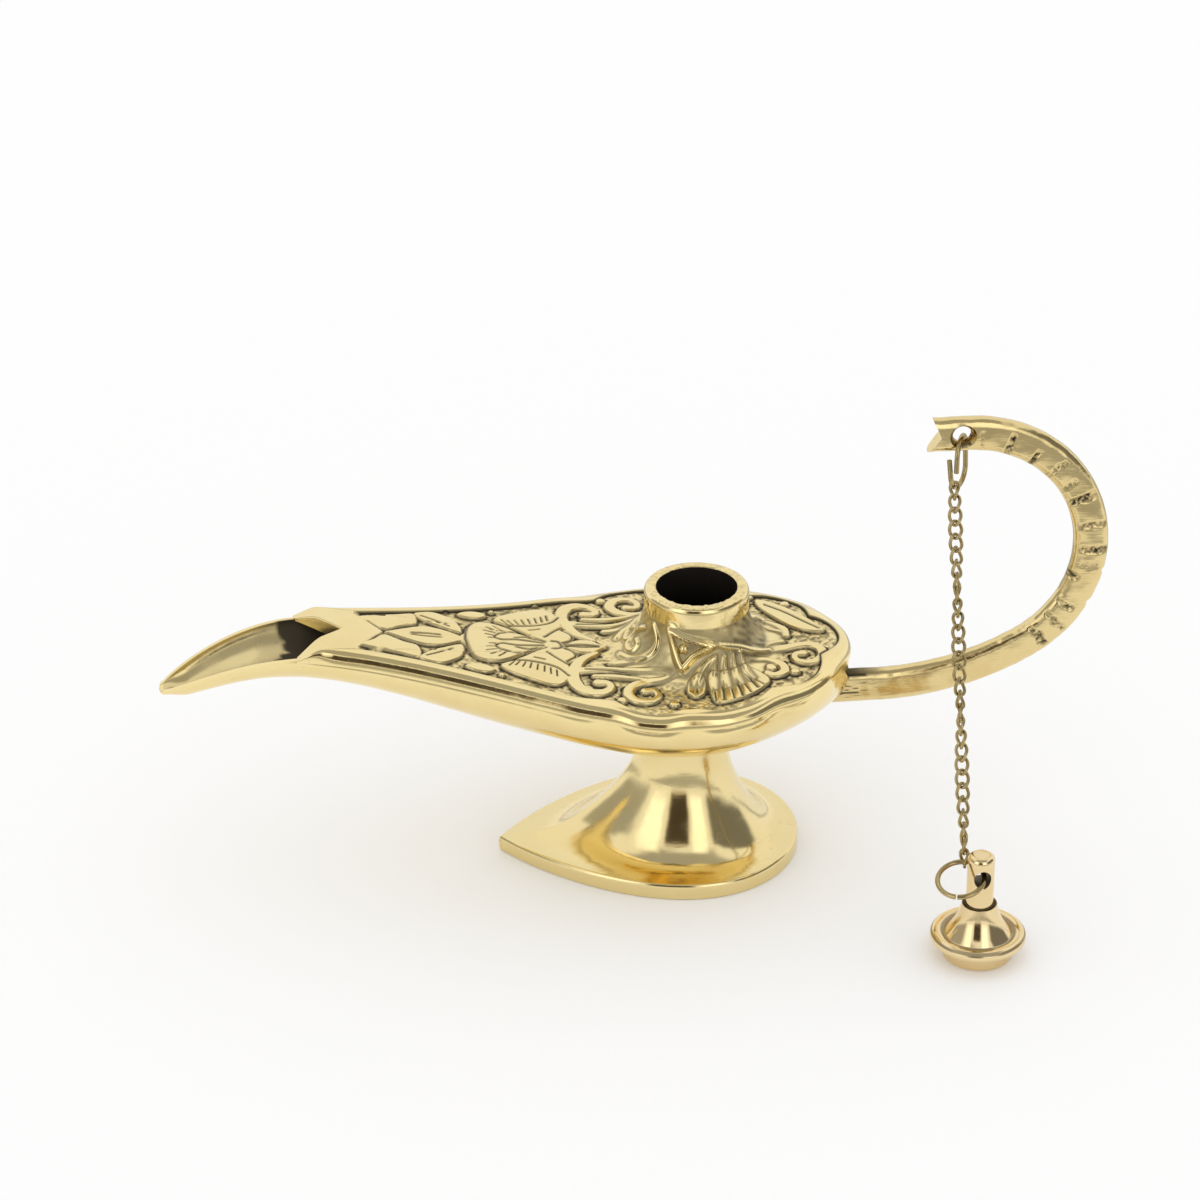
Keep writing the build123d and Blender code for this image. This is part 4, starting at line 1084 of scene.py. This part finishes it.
class LAMP_OT_foot(bpy.types.Operator):
    """Waisted pedestal on its leaf-shaped plate"""

    bl_idname = "lamp.foot"
    bl_label = "Foot"

    plate_height = 2.8
    sink = 0.35
    sweep_share = 0.36
    seat_z = 20.6
    waist = 7.0
    back, point = 18.7, -29.8
    half, fullest = 18.4, 0.6
    bow = 0.5523
    curve_points = 110
    edge_reach = 22
    shoulder = 0.004
    # Height and share of the whole leaf below the rounded edge, and in the bowl's socket
    plate_levels = [(0.0, 0.965), (0.12, 0.986), (0.35, 0.997), (0.6, 1.0), (1.2, 1.0)]
    socket_levels = [(21.2, 0.0), (22.0, 0.0)]

    def leaf(self, spread):
        """Plan of the foot from the round waist at spread 0 to the whole leaf at spread 1."""
        bow, waist, point = self.bow, self.waist, self.point
        side, middle = mix(waist, self.half, spread), mix(0, self.fullest, spread)
        end, tip = mix(waist, self.back, spread), mix(-waist, point, spread)
        rear = [(end, 0), (end, bow * side), (middle + bow * (end - middle), side), (middle, side)]
        fore = [(middle, side), (mix(-bow * waist, 0.4 * point, spread), side),
                (mix(-waist, 0.82 * point, spread), mix(bow * waist, 0.41 * self.half, spread)), (tip, 0)]
        t = np.linspace(0, 1, self.curve_points)[:, None]
        path = []
        for curve in (rear, fore):
            a, b, c, d = (np.array(p) for p in curve)
            path.append((1 - t) ** 3 * a + 3 * t * (1 - t) ** 2 * b + 3 * t * t * (1 - t) * c + t**3 * d)
        upper = np.vstack([path[0][:-1], path[1]])
        return np.vstack([upper, upper[1:-1][::-1] * np.array([1, -1])])

    def execute(self, context):
        low = self.plate_height - self.sink
        at_plate, at_seat = 1 / self.sink, 1 / (self.seat_z - low)
        edge = form().foot_edge / MM
        levels = list(self.plate_levels)
        for t in np.linspace(0, 1, 9):
            a = t * math.pi / 2
            z = self.plate_height - edge + edge * math.sin(a)
            levels.append((z, 1 - edge / self.edge_reach * (1 - math.cos(a))))
        start = levels[-1][1] - self.shoulder
        z = self.plate_height + self.shoulder * 1.12 ** np.arange(1, 260)
        z = np.append(z[z < self.seat_z - 0.3], self.seat_z)
        sweep = (1 / (z - low) - at_seat) / (at_plate - at_seat)
        spread = mix(((self.seat_z - z) / (self.seat_z - self.plate_height)) ** 2, sweep, self.sweep_share)
        levels += [(height, share * start) for height, share in zip(z, spread)] + self.socket_levels
        rings = []
        for height, share in levels:
            plan = self.leaf(share)
            rings.append(np.column_stack([plan, np.full(len(plan), height)]))
        obj = closed_piece("foot_cast", np.array(rings))
        metal = brass_material("polished_foot_brass", pits=1.0, spread=0.3, colour=(0.85, 0.70, 0.36))
        dress(obj, "lamp", "polished_brass", metal, "foot")
        return {"FINISHED"}


class LAMP_OT_screw(bpy.types.Operator):
    """Slotted screw between bowl and foot, seen through the mouth"""

    bl_idname = "lamp.screw"
    bl_label = "Foot screw"

    def execute(self, context):
        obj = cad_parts["foot_screw"]
        finish_shading(obj.data, 30)
        # Near-black colour on the brass screw inside the bowl
        coat(obj, brass_material(
            "dark_screw_brass", polish=0.4, colour=(0.10, 0.07, 0.03), warm=(0.05, 0.035, 0.02)))
        return {"FINISHED"}


class LAMP_OT_handle(bpy.types.Operator):
    """Hooked strap handle with rough cross grooves, an eye and a forked tip"""

    bl_idname = "lamp.handle"
    bl_label = "Handle"

    arm_z = 27.4
    bend_x = 31.0
    bend_radius = 47.0
    bend_rise = 30
    width = 5.6
    thickness = 3.0
    corner = 1.2
    hook_x = 44.4
    hook_z = 51.19
    hook_radius = 20.2
    tip_x = 38.0
    fork_depth = 1.9
    eye_x = 43.2
    line_step = 0.16
    # Marks that stand in place of a hook angle on the other runs of the bar
    on_arm, on_bend, on_tip = -200, -150, 200

    # Angle round the hook, shift across the bar, length, width, depth share
    grooves = [
        (84.6, -0.4, 2.6, 0.30, 0.35), (71.2, -0.6, 3.6, 0.42, 0.9), (57.0, -1.2, 2.8, 0.40, 1.0),
        (44.7, -0.6, 3.8, 0.40, 0.9), (34.0, -0.8, 2.8, 0.36, 0.45), (24.7, -0.2, 4.2, 0.50, 1.0),
        (10.1, 0.2, 4.6, 0.42, 0.6), (-2.1, 0.4, 4.2, 0.48, 0.8), (-9.8, 0.2, 3.2, 0.50, 0.3),
        (-16.2, -2.0, 1.8, 0.55, 1.0), (-32.5, -0.9, 3.2, 0.36, 0.7), (-42.0, -0.1, 4.4, 0.42, 0.7),
        (-52.1, 0.0, 4.0, 0.46, 0.8), (-64.7, 0.7, 2.6, 0.40, 0.5),
    ]
    # Radius and place across the bar of the eye's countersunk hole, up to its middle
    eye = [(2.5, -2.2), (2.3, -1.7), (1.95, -1.25), (1.6, -0.85), (1.5, -0.6)]

    def bar_line(self):
        """Points, directions and hook angles along the bar's middle line."""
        rise, bend, hook = math.radians(self.bend_rise), self.bend_radius, self.hook_radius
        arm = np.arange(STERN_X, self.bend_x, self.line_step)
        a = np.arange(0, rise, self.line_step / bend)
        b = np.arange(rise, math.pi, self.line_step / hook)
        tip = np.linspace(self.hook_x, self.tip_x, 36)
        runs = [
            (arm, self.arm_z, 0.0, self.on_arm),
            (self.bend_x + bend * np.sin(a), self.arm_z + bend - bend * np.cos(a), a, self.on_bend),
            (self.hook_x + hook * np.sin(b), self.hook_z - hook * np.cos(b), b, np.degrees(b) - 90),
            (tip, self.hook_z + hook, math.pi, self.on_tip),
        ]
        return np.vstack([np.column_stack(np.broadcast_arrays(*run)) for run in runs])

    def section(self):
        """Rounded rectangle: shift outwards from the hook's centre, and shift along Y."""
        bend = self.corner
        hw, ht = self.width / 2 - bend, self.thickness / 2 - bend
        corners = [(-hw, -ht, 180, 270), (hw, -ht, 270, 360), (hw, ht, 0, 90), (-hw, ht, 90, 180)]
        path = []
        for k, (n, y, a0, a1) in enumerate(corners):
            for a in np.radians(np.linspace(a0, a1, 6)):
                path.append((n + bend * math.cos(a), y + bend * math.sin(a)))
            n2, y2 = corners[(k + 1) % 4][:2]
            a = math.radians(a1)
            begin = np.array([n + bend * math.cos(a), y + bend * math.sin(a)])
            stop = np.array([n2 + bend * math.cos(a), y2 + bend * math.sin(a)])
            inner = 26 if k in (0, 2) else 8
            for t in np.linspace(0, 1, inner + 2)[1:-1]:
                path.append(tuple(mix(begin, stop, t)))
        return np.array(path)

    def cuts(self, n, angle):
        """Depth, dark filling and rough ground of the cross grooves."""
        depth = dark = rough = np.zeros((len(angle), n.shape[1]))
        for k, (at, shift, length, wide, share) in enumerate(self.grooves):
            s = (angle - at) * math.pi / 180 * self.hook_radius
            wobble = 0.5 * (speckle(n + 40 * k, 7.0 * k, 1.1, 41) - 0.5)
            tilt = 0.12 * (speckle(k * 3.7, 1.0, 1.0, 44) - 0.5)
            torn = 1.25 * wide * (0.75 + 0.5 * speckle(n + 9 * k, 0.0, 0.8, 42))
            gap = np.abs(s + wobble + tilt * n) / torn
            ends = smooth(length / 2 + 0.35, length / 2 - 0.45, np.abs(n - shift))
            cut = np.exp(-(gap**4)) * ends * share
            grit = speckle(s + 20 * k, n, 0.30, 43)
            depth = np.maximum(depth, cut * (0.75 + 0.7 * (grit - 0.4)))
            dark = np.maximum(dark, np.clip(cut * (2.0 * grit - 0.45), 0, 1))
            rough = np.maximum(rough, cut)
        return depth * form().groove_depth / MM, dark, rough

    def execute(self, context):
        line, section = self.bar_line(), self.section()
        rows, columns = len(line), len(section)
        n, side = section[:, 0][None, :], section[:, 1][None, :]
        lx, lz, direction, angle = (line[:, k][:, None] for k in range(4))
        # Slightly uneven bar with crowned faces
        outward = n * (0.985 + 0.03 * (speckle(lx * 3 + lz, lz, 3.0, 31) - 0.5))
        x = lx + outward * np.sin(direction)
        z = lz - outward * np.cos(direction)
        y = side * (0.97 + 0.06 * (speckle(lx, lz + n, 2.6, 32) - 0.5))
        y = y * (1 - 0.14 * (n / self.width * 2) ** 2)
        # Forked tip, and the arm's root that reaches into the hull
        fork = self.fork_depth * (1 - np.abs(n) / (self.width / 2))
        swallow = self.tip_x + fork + np.where(n > 0, 0.5, -0.2) * np.abs(n) / 2.8
        share = np.clip((self.hook_x - lx) / (self.hook_x - self.tip_x), 0, 1)
        x = np.where(angle == self.on_tip, mix(self.hook_x, swallow, share), x)
        hull_x = np.linspace(8, STERN_X, 200)
        start_x = np.interp(self.arm_z - n, keel_height(hull_x), hull_x)
        start_x = np.minimum(start_x, STERN_X - 0.2) - 1.1
        share = np.clip((lx - STERN_X) / (self.bend_x - STERN_X), 0, 1)
        x = np.where(angle == self.on_arm, mix(start_x, self.bend_x, share), x)
        # Grooves on both faces, and two nicks in the outer edge
        depth, dark, rough = self.cuts(n, angle)
        face = np.abs(side) > self.thickness / 2 - 0.25
        y = np.where(face, y - np.sign(side) * depth, y)
        nick = (bell(angle + 12.5, 1.1) * 0.25 + bell(angle + 27.3, 1.3) * 0.3) * smooth(1.4, 2.7, n)
        x = x - nick * np.sin(direction)
        z = z + nick * np.cos(direction)
        # Solder and scratches near the root
        solder = smooth(33.5, 26.5, x + 3.0 * (speckle(x, z, 1.4, 51) - 0.5))
        scratch = smooth(0.60, 0.75, speckle(x * 0.16, z, 0.22, 52)) * smooth(34, 27, x) * (lz < 30)
        top_mark = smooth(-1.9, -2.6, n) * solder * (lz < 30)
        dark = np.maximum(dark, np.clip(0.8 * scratch * face + 0.9 * top_mark, 0, 1))
        # Quads that close the forked tip
        order = np.argsort(section[:, 0], kind="stable")
        base = (rows - 1) * columns
        near = [base + k for k in order if section[k, 1] < 0]
        far = [base + k for k in order if section[k, 1] > 0]
        tip_quads = np.array([near[:-1], far[:-1], far[1:], near[1:]]).T
        quads = np.vstack([grid_quads(rows, columns, wrap_columns=True), tip_quads])
        root = [list(range(columns))[::-1]]
        obj = make_piece("handle_strap", np.stack([x, y, z], -1), quads, root, dark, rough, sharp=50)
        drill(obj, "eye_drill", self.eye, (self.eye_x, 0, self.hook_z + self.hook_radius), 72)
        metal = brass_material(
            "polished_handle_brass", polish=0.16, marks=2.2, waves=2.6, bump=0.24,
            colour=(0.81, 0.65, 0.32), warm=(0.70, 0.52, 0.22))
        dress(obj, "lamp", "polished_brass", metal, "handle")
        return {"FINISHED"}


class LAMP_OT_stopper(bpy.types.Operator):
    """Turned stopper cap and its drilled post"""

    bl_idname = "lamp.stopper"
    bl_label = "Stopper"

    bead_r, bead_z, bead_size = 6.52, 3.55, 0.95
    cone_foot, cone_top = np.array([5.3, 4.05]), np.array([2.75, 9.3])
    cone_hollow = np.array([0.40, 0.20])
    # Radius and height
    plug = [(0.4, 0.0), (4.9, 0.0), (5.2, 0.06), (5.42, 0.25), (5.5, 0.5), (5.5, 2.2), (5.55, 2.52),
            (5.8, 2.6)]
    neck = [(6.0, 4.42), (5.75, 4.2), (5.5, 4.05)]
    socket = [(2.62, 9.3), (2.5, 9.22), (2.32, 9.05), (0.4, 9.05)]
    post_foot = [(0.3, 5.4), (2.2, 5.4), (2.2, 9.1), (2.18, 9.5)]
    post_radius = 2.13
    post_top = [(2.13, 17.2), (2.04, 17.5), (1.86, 17.76), (1.6, 17.93), (1.2, 18.0), (0.3, 18.0)]
    hole_z = 14.5
    # Radius and place along the post's cross hole, up to its middle
    hole = [(1.95, -2.9), (1.75, -2.3), (1.45, -1.95), (1.3, -1.6)]

    def turned(self, name, profile, dark, centre, count):
        """Turned piece with a dark share for each point of its profile."""
        patina_and_shade = np.repeat(dark[:, None], count, 1)
        return closed_piece(name, lathe(profile, centre, count), patina_and_shade, sharp=55)

    def execute(self, context):
        low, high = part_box("stopper_cap")
        centre = ((low.x + high.x) / 2 / MM, (low.y + high.y) / 2 / MM)
        bead = [(self.bead_r + self.bead_size * math.cos(a), self.bead_z + self.bead_size * math.sin(a))
                for a in np.linspace(-math.pi / 2, math.pi / 2, 22)]
        cone = [mix(self.cone_foot, self.cone_top, t) - self.cone_hollow * math.sin(math.pi * t)
                for t in np.linspace(0, 1, 30)]
        profile = np.array([*self.plug, *bead, *self.neck, *cone, *self.socket])
        r, z = profile.T
        dark = np.select([(z > 9.0) & (r < 2.7), (z > 3.95) & (z < 4.3) & (r > 5.2)], [0.9, 0.55], 0.0)
        cap = self.turned("stopper_cap_turned", profile, dark, centre, 160)
        metal = brass_material(
            "turned_brass", polish=0.08, marks=0.6, spread=0.35, pits=0.3, bump=0.06,
            colour=(0.86, 0.69, 0.39), warm=(0.78, 0.57, 0.28))
        dress(cap, "stopper", "polished_brass", metal, "stopper_cap")
        shaft = [(self.post_radius, z) for z in np.linspace(10, 17, 30)]
        profile = np.array([*self.post_foot, *shaft, *self.post_top])
        dark = np.where(profile[:, 1] < 9.45, 0.85, 0.0)
        post = self.turned("stopper_post_turned", profile, dark, centre, 128)
        drill(post, "post_drill", self.hole, (*centre, self.hole_z), 64, dark=True)
        dress(post, "stopper", "polished_brass", metal, "stopper_post")
        return {"FINISHED"}


class LAMP_OT_chain(bpy.types.Operator):
    """Finish of the curb chain and its two rings"""

    bl_idname = "lamp.chain"
    bl_label = "Chain and rings"

    def execute(self, context):
        wire = wire_material()
        for name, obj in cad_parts.items():
            if name.startswith("chain_link") or name.endswith("_ring"):
                finish_shading(obj.data, 40)
                coat(obj, wire)
        return {"FINISHED"}


class LAMP_OT_stage(bpy.types.Operator):
    """Pale floor, soft light and the camera"""

    bl_idname = "lamp.stage"
    bl_label = "Stage"

    floor_half = 4000
    floor_glow = 0.06
    target = (-0.01261, 0.00737, 0.04107)
    white = (1, 1, 1)
    # Upright cards: azimuth, distance, width, lower and upper edge in metres, brightness, tint
    cards = [
        ("soft_light_left", -48, 0.95, 0.46, 0.05, 1.1, 1.5, white),
        ("soft_light_right", 20, 0.95, 0.46, 0.05, 1.1, 1.5, white),
        ("dark_gap", -13, 1.3, 0.85, 0.0, 1.2, 0.07, (1.0, 0.8, 0.6)),
        ("grey_left", -95, 1.3, 1.5, 0.0, 1.2, 0.42, white),
        ("grey_right", 74, 1.3, 2.0, 0.0, 1.2, 0.20, white),
        ("pale_back", 174, 1.35, 2.6, 0.22, 1.25, 0.94, white),
    ]
    # Lying cards: half width, front edge and its height, back edge and its height, brightness, soft share
    sheets = [
        ("grey_above", 1000, -1300, 1250, 500, 1500, 0.42, 0.16),
        ("grey_front", 900, -900, 0.5, -75, 0.5, 0.45, 0.06),
        ("grey_behind", 900, 45, 0.5, 900, 0.5, 0.55, 0.04),
    ]

    def card(self, name, azimuth, distance, width, low, high, level, tint):
        """Upright card that faces the lamp."""
        a = math.radians(azimuth)
        out = np.array([math.sin(a), -math.cos(a)])
        along = np.array([out[1], -out[0]])
        corners = []
        for u, z in ((-1, low), (1, low), (1, high), (-1, high)):
            p = out * distance + along * u * width / 2
            corners.append((p[0] / MM, p[1] / MM, z / MM))
        self.glow(name, corners, level, tint, 0.16)

    def sheet(self, name, half, front, front_z, back, back_z, level, soft):
        """Lying or sloping card across the lamp's length."""
        near = [(-half, front, front_z), (half, front, front_z)]
        corners = near + [(half, back, back_z), (-half, back, back_z)]
        self.glow(name, corners, level, self.white, soft)

    def glow(self, name, corners, level, tint, soft):
        """Tinted card seen only in reflections. Over the soft share its edges melt into the tent's white."""
        obj = make_piece(name, corners, [(0, 1, 2, 3)])
        across = obj.data.uv_layers.new(name="card")
        for corner, place in zip(across.data, ((0, 0), (1, 0), (1, 1), (0, 1))):
            corner.uv = place
        material = bpy.data.materials.new(name)
        material.use_nodes = True
        tree = material.node_tree
        tree.nodes.remove(tree.nodes["Principled BSDF"])
        split = node(tree, "ShaderNodeSeparateXYZ")
        tree.links.new(node(tree, "ShaderNodeTexCoord").outputs["UV"], split.inputs[0])
        shares = []
        for axis in ("X", "Y"):
            u = split.outputs[axis]
            shares.append(ramp(tree, calc(tree, "MINIMUM", u, calc(tree, "SUBTRACT", 1.0, u)), 0.0, soft))
        mask = calc(tree, "MULTIPLY", *shares)
        light = node(tree, "ShaderNodeEmission")
        tree.links.new(blend_colour(tree, mask, self.white, tint), light.inputs["Color"])
        strength = calc(tree, "ADD", calc(tree, "MULTIPLY", mask, level - 1.0), 1.0)
        tree.links.new(strength, light.inputs["Strength"])
        tree.links.new(light.outputs[0], tree.nodes["Material Output"].inputs["Surface"])
        obj.data.materials.append(material)
        obj.visible_camera = False
        obj.visible_diffuse = False
        obj.visible_shadow = False

    def floor(self, colour):
        """Pale floor that glows a little where it is looked at."""
        h = self.floor_half
        floor = make_piece("floor", [(-h, -h, 0), (h, -h, 0), (h, h, 0), (-h, h, 0)], [(0, 1, 2, 3)])
        cover = bpy.data.materials.new("pale_floor")
        cover.use_nodes = True
        tree = cover.node_tree
        shader = tree.nodes["Principled BSDF"]
        shader.inputs["Base Color"].default_value = (*colour, 1)
        shader.inputs["Roughness"].default_value = 0.9
        shader.inputs["Specular IOR Level"].default_value = 0.0
        shader.inputs["Emission Color"].default_value = (*self.white, 1)
        rays = node(tree, "ShaderNodeLightPath").outputs
        seen = calc(tree, "MAXIMUM", rays["Is Glossy Ray"], rays["Is Transmission Ray"])
        seen = calc(tree, "MAXIMUM", rays["Is Camera Ray"], seen)
        tree.links.new(calc(tree, "MULTIPLY", seen, self.floor_glow), shader.inputs["Emission Strength"])
        floor.data.materials.append(cover)

    def camera(self, context, studio):
        """Camera that looks at the target from the set direction."""
        az, el = studio.azimuth, studio.elevation
        away = Vector((math.sin(az) * math.cos(el), -math.cos(az) * math.cos(el), math.sin(el)))
        lens = bpy.data.cameras.new("camera")
        lens.lens = studio.lens
        lens.sensor_width = 36.0
        lens.clip_start = 0.01
        camera = bpy.data.objects.new("camera", lens)
        camera.location = Vector(self.target) + away * studio.distance
        camera.rotation_euler = (-away).to_track_quat("-Z", "Y").to_euler()
        context.collection.objects.link(camera)
        context.scene.camera = camera

    def execute(self, context):
        scene = context.scene
        scene.view_settings.view_transform = "Standard"
        self.floor(scene.lamp_studio.floor)
        world = bpy.data.worlds.new("white_tent")
        world.use_nodes = True
        tent = world.node_tree.nodes["Background"]
        tent.inputs["Color"].default_value = (*self.white, 1)
        tent.inputs["Strength"].default_value = 1.0
        scene.world = world
        for card in self.cards:
            self.card(*card)
        for sheet in self.sheets:
            self.sheet(*sheet)
        self.camera(context, scene.lamp_studio)
        return {"FINISHED"}


OPERATORS = (
    LAMP_OT_bowl, LAMP_OT_deck, LAMP_OT_foot, LAMP_OT_screw,
    LAMP_OT_handle, LAMP_OT_stopper, LAMP_OT_chain, LAMP_OT_stage,
)


class LAMP_PT_panel(bpy.types.Panel):
    """Lists the lamp's pieces and settings"""

    bl_idname = "LAMP_PT_panel"
    bl_label = "Genie oil lamp"
    bl_space_type = "VIEW_3D"
    bl_region_type = "UI"
    bl_category = "Lamp"

    def draw(self, context):
        for group in (context.scene.lamp_form, context.scene.lamp_finish, context.scene.lamp_studio):
            box = self.layout.box()
            for key in group.__annotations__:
                box.prop(group, key)
        for operator in OPERATORS:
            self.layout.operator(operator.bl_idname)


CLASSES = (LampForm, LampFinish, LampStudio) + OPERATORS + (LAMP_PT_panel,)


def register():
    for cls in CLASSES:
        bpy.utils.register_class(cls)
    bpy.types.Scene.lamp_form = bpy.props.PointerProperty(type=LampForm)
    bpy.types.Scene.lamp_finish = bpy.props.PointerProperty(type=LampFinish)
    bpy.types.Scene.lamp_studio = bpy.props.PointerProperty(type=LampStudio)


def unregister():
    del bpy.types.Scene.lamp_studio
    del bpy.types.Scene.lamp_finish
    del bpy.types.Scene.lamp_form
    for cls in reversed(CLASSES):
        bpy.utils.unregister_class(cls)


def main():
    register()
    bpy.ops.lamp.stage()
    bpy.ops.lamp.bowl()
    bpy.ops.lamp.deck()
    bpy.ops.lamp.foot()
    bpy.ops.lamp.screw()
    bpy.ops.lamp.handle()
    bpy.ops.lamp.stopper()
    bpy.ops.lamp.chain()


if __name__ == "__main__":
    main()
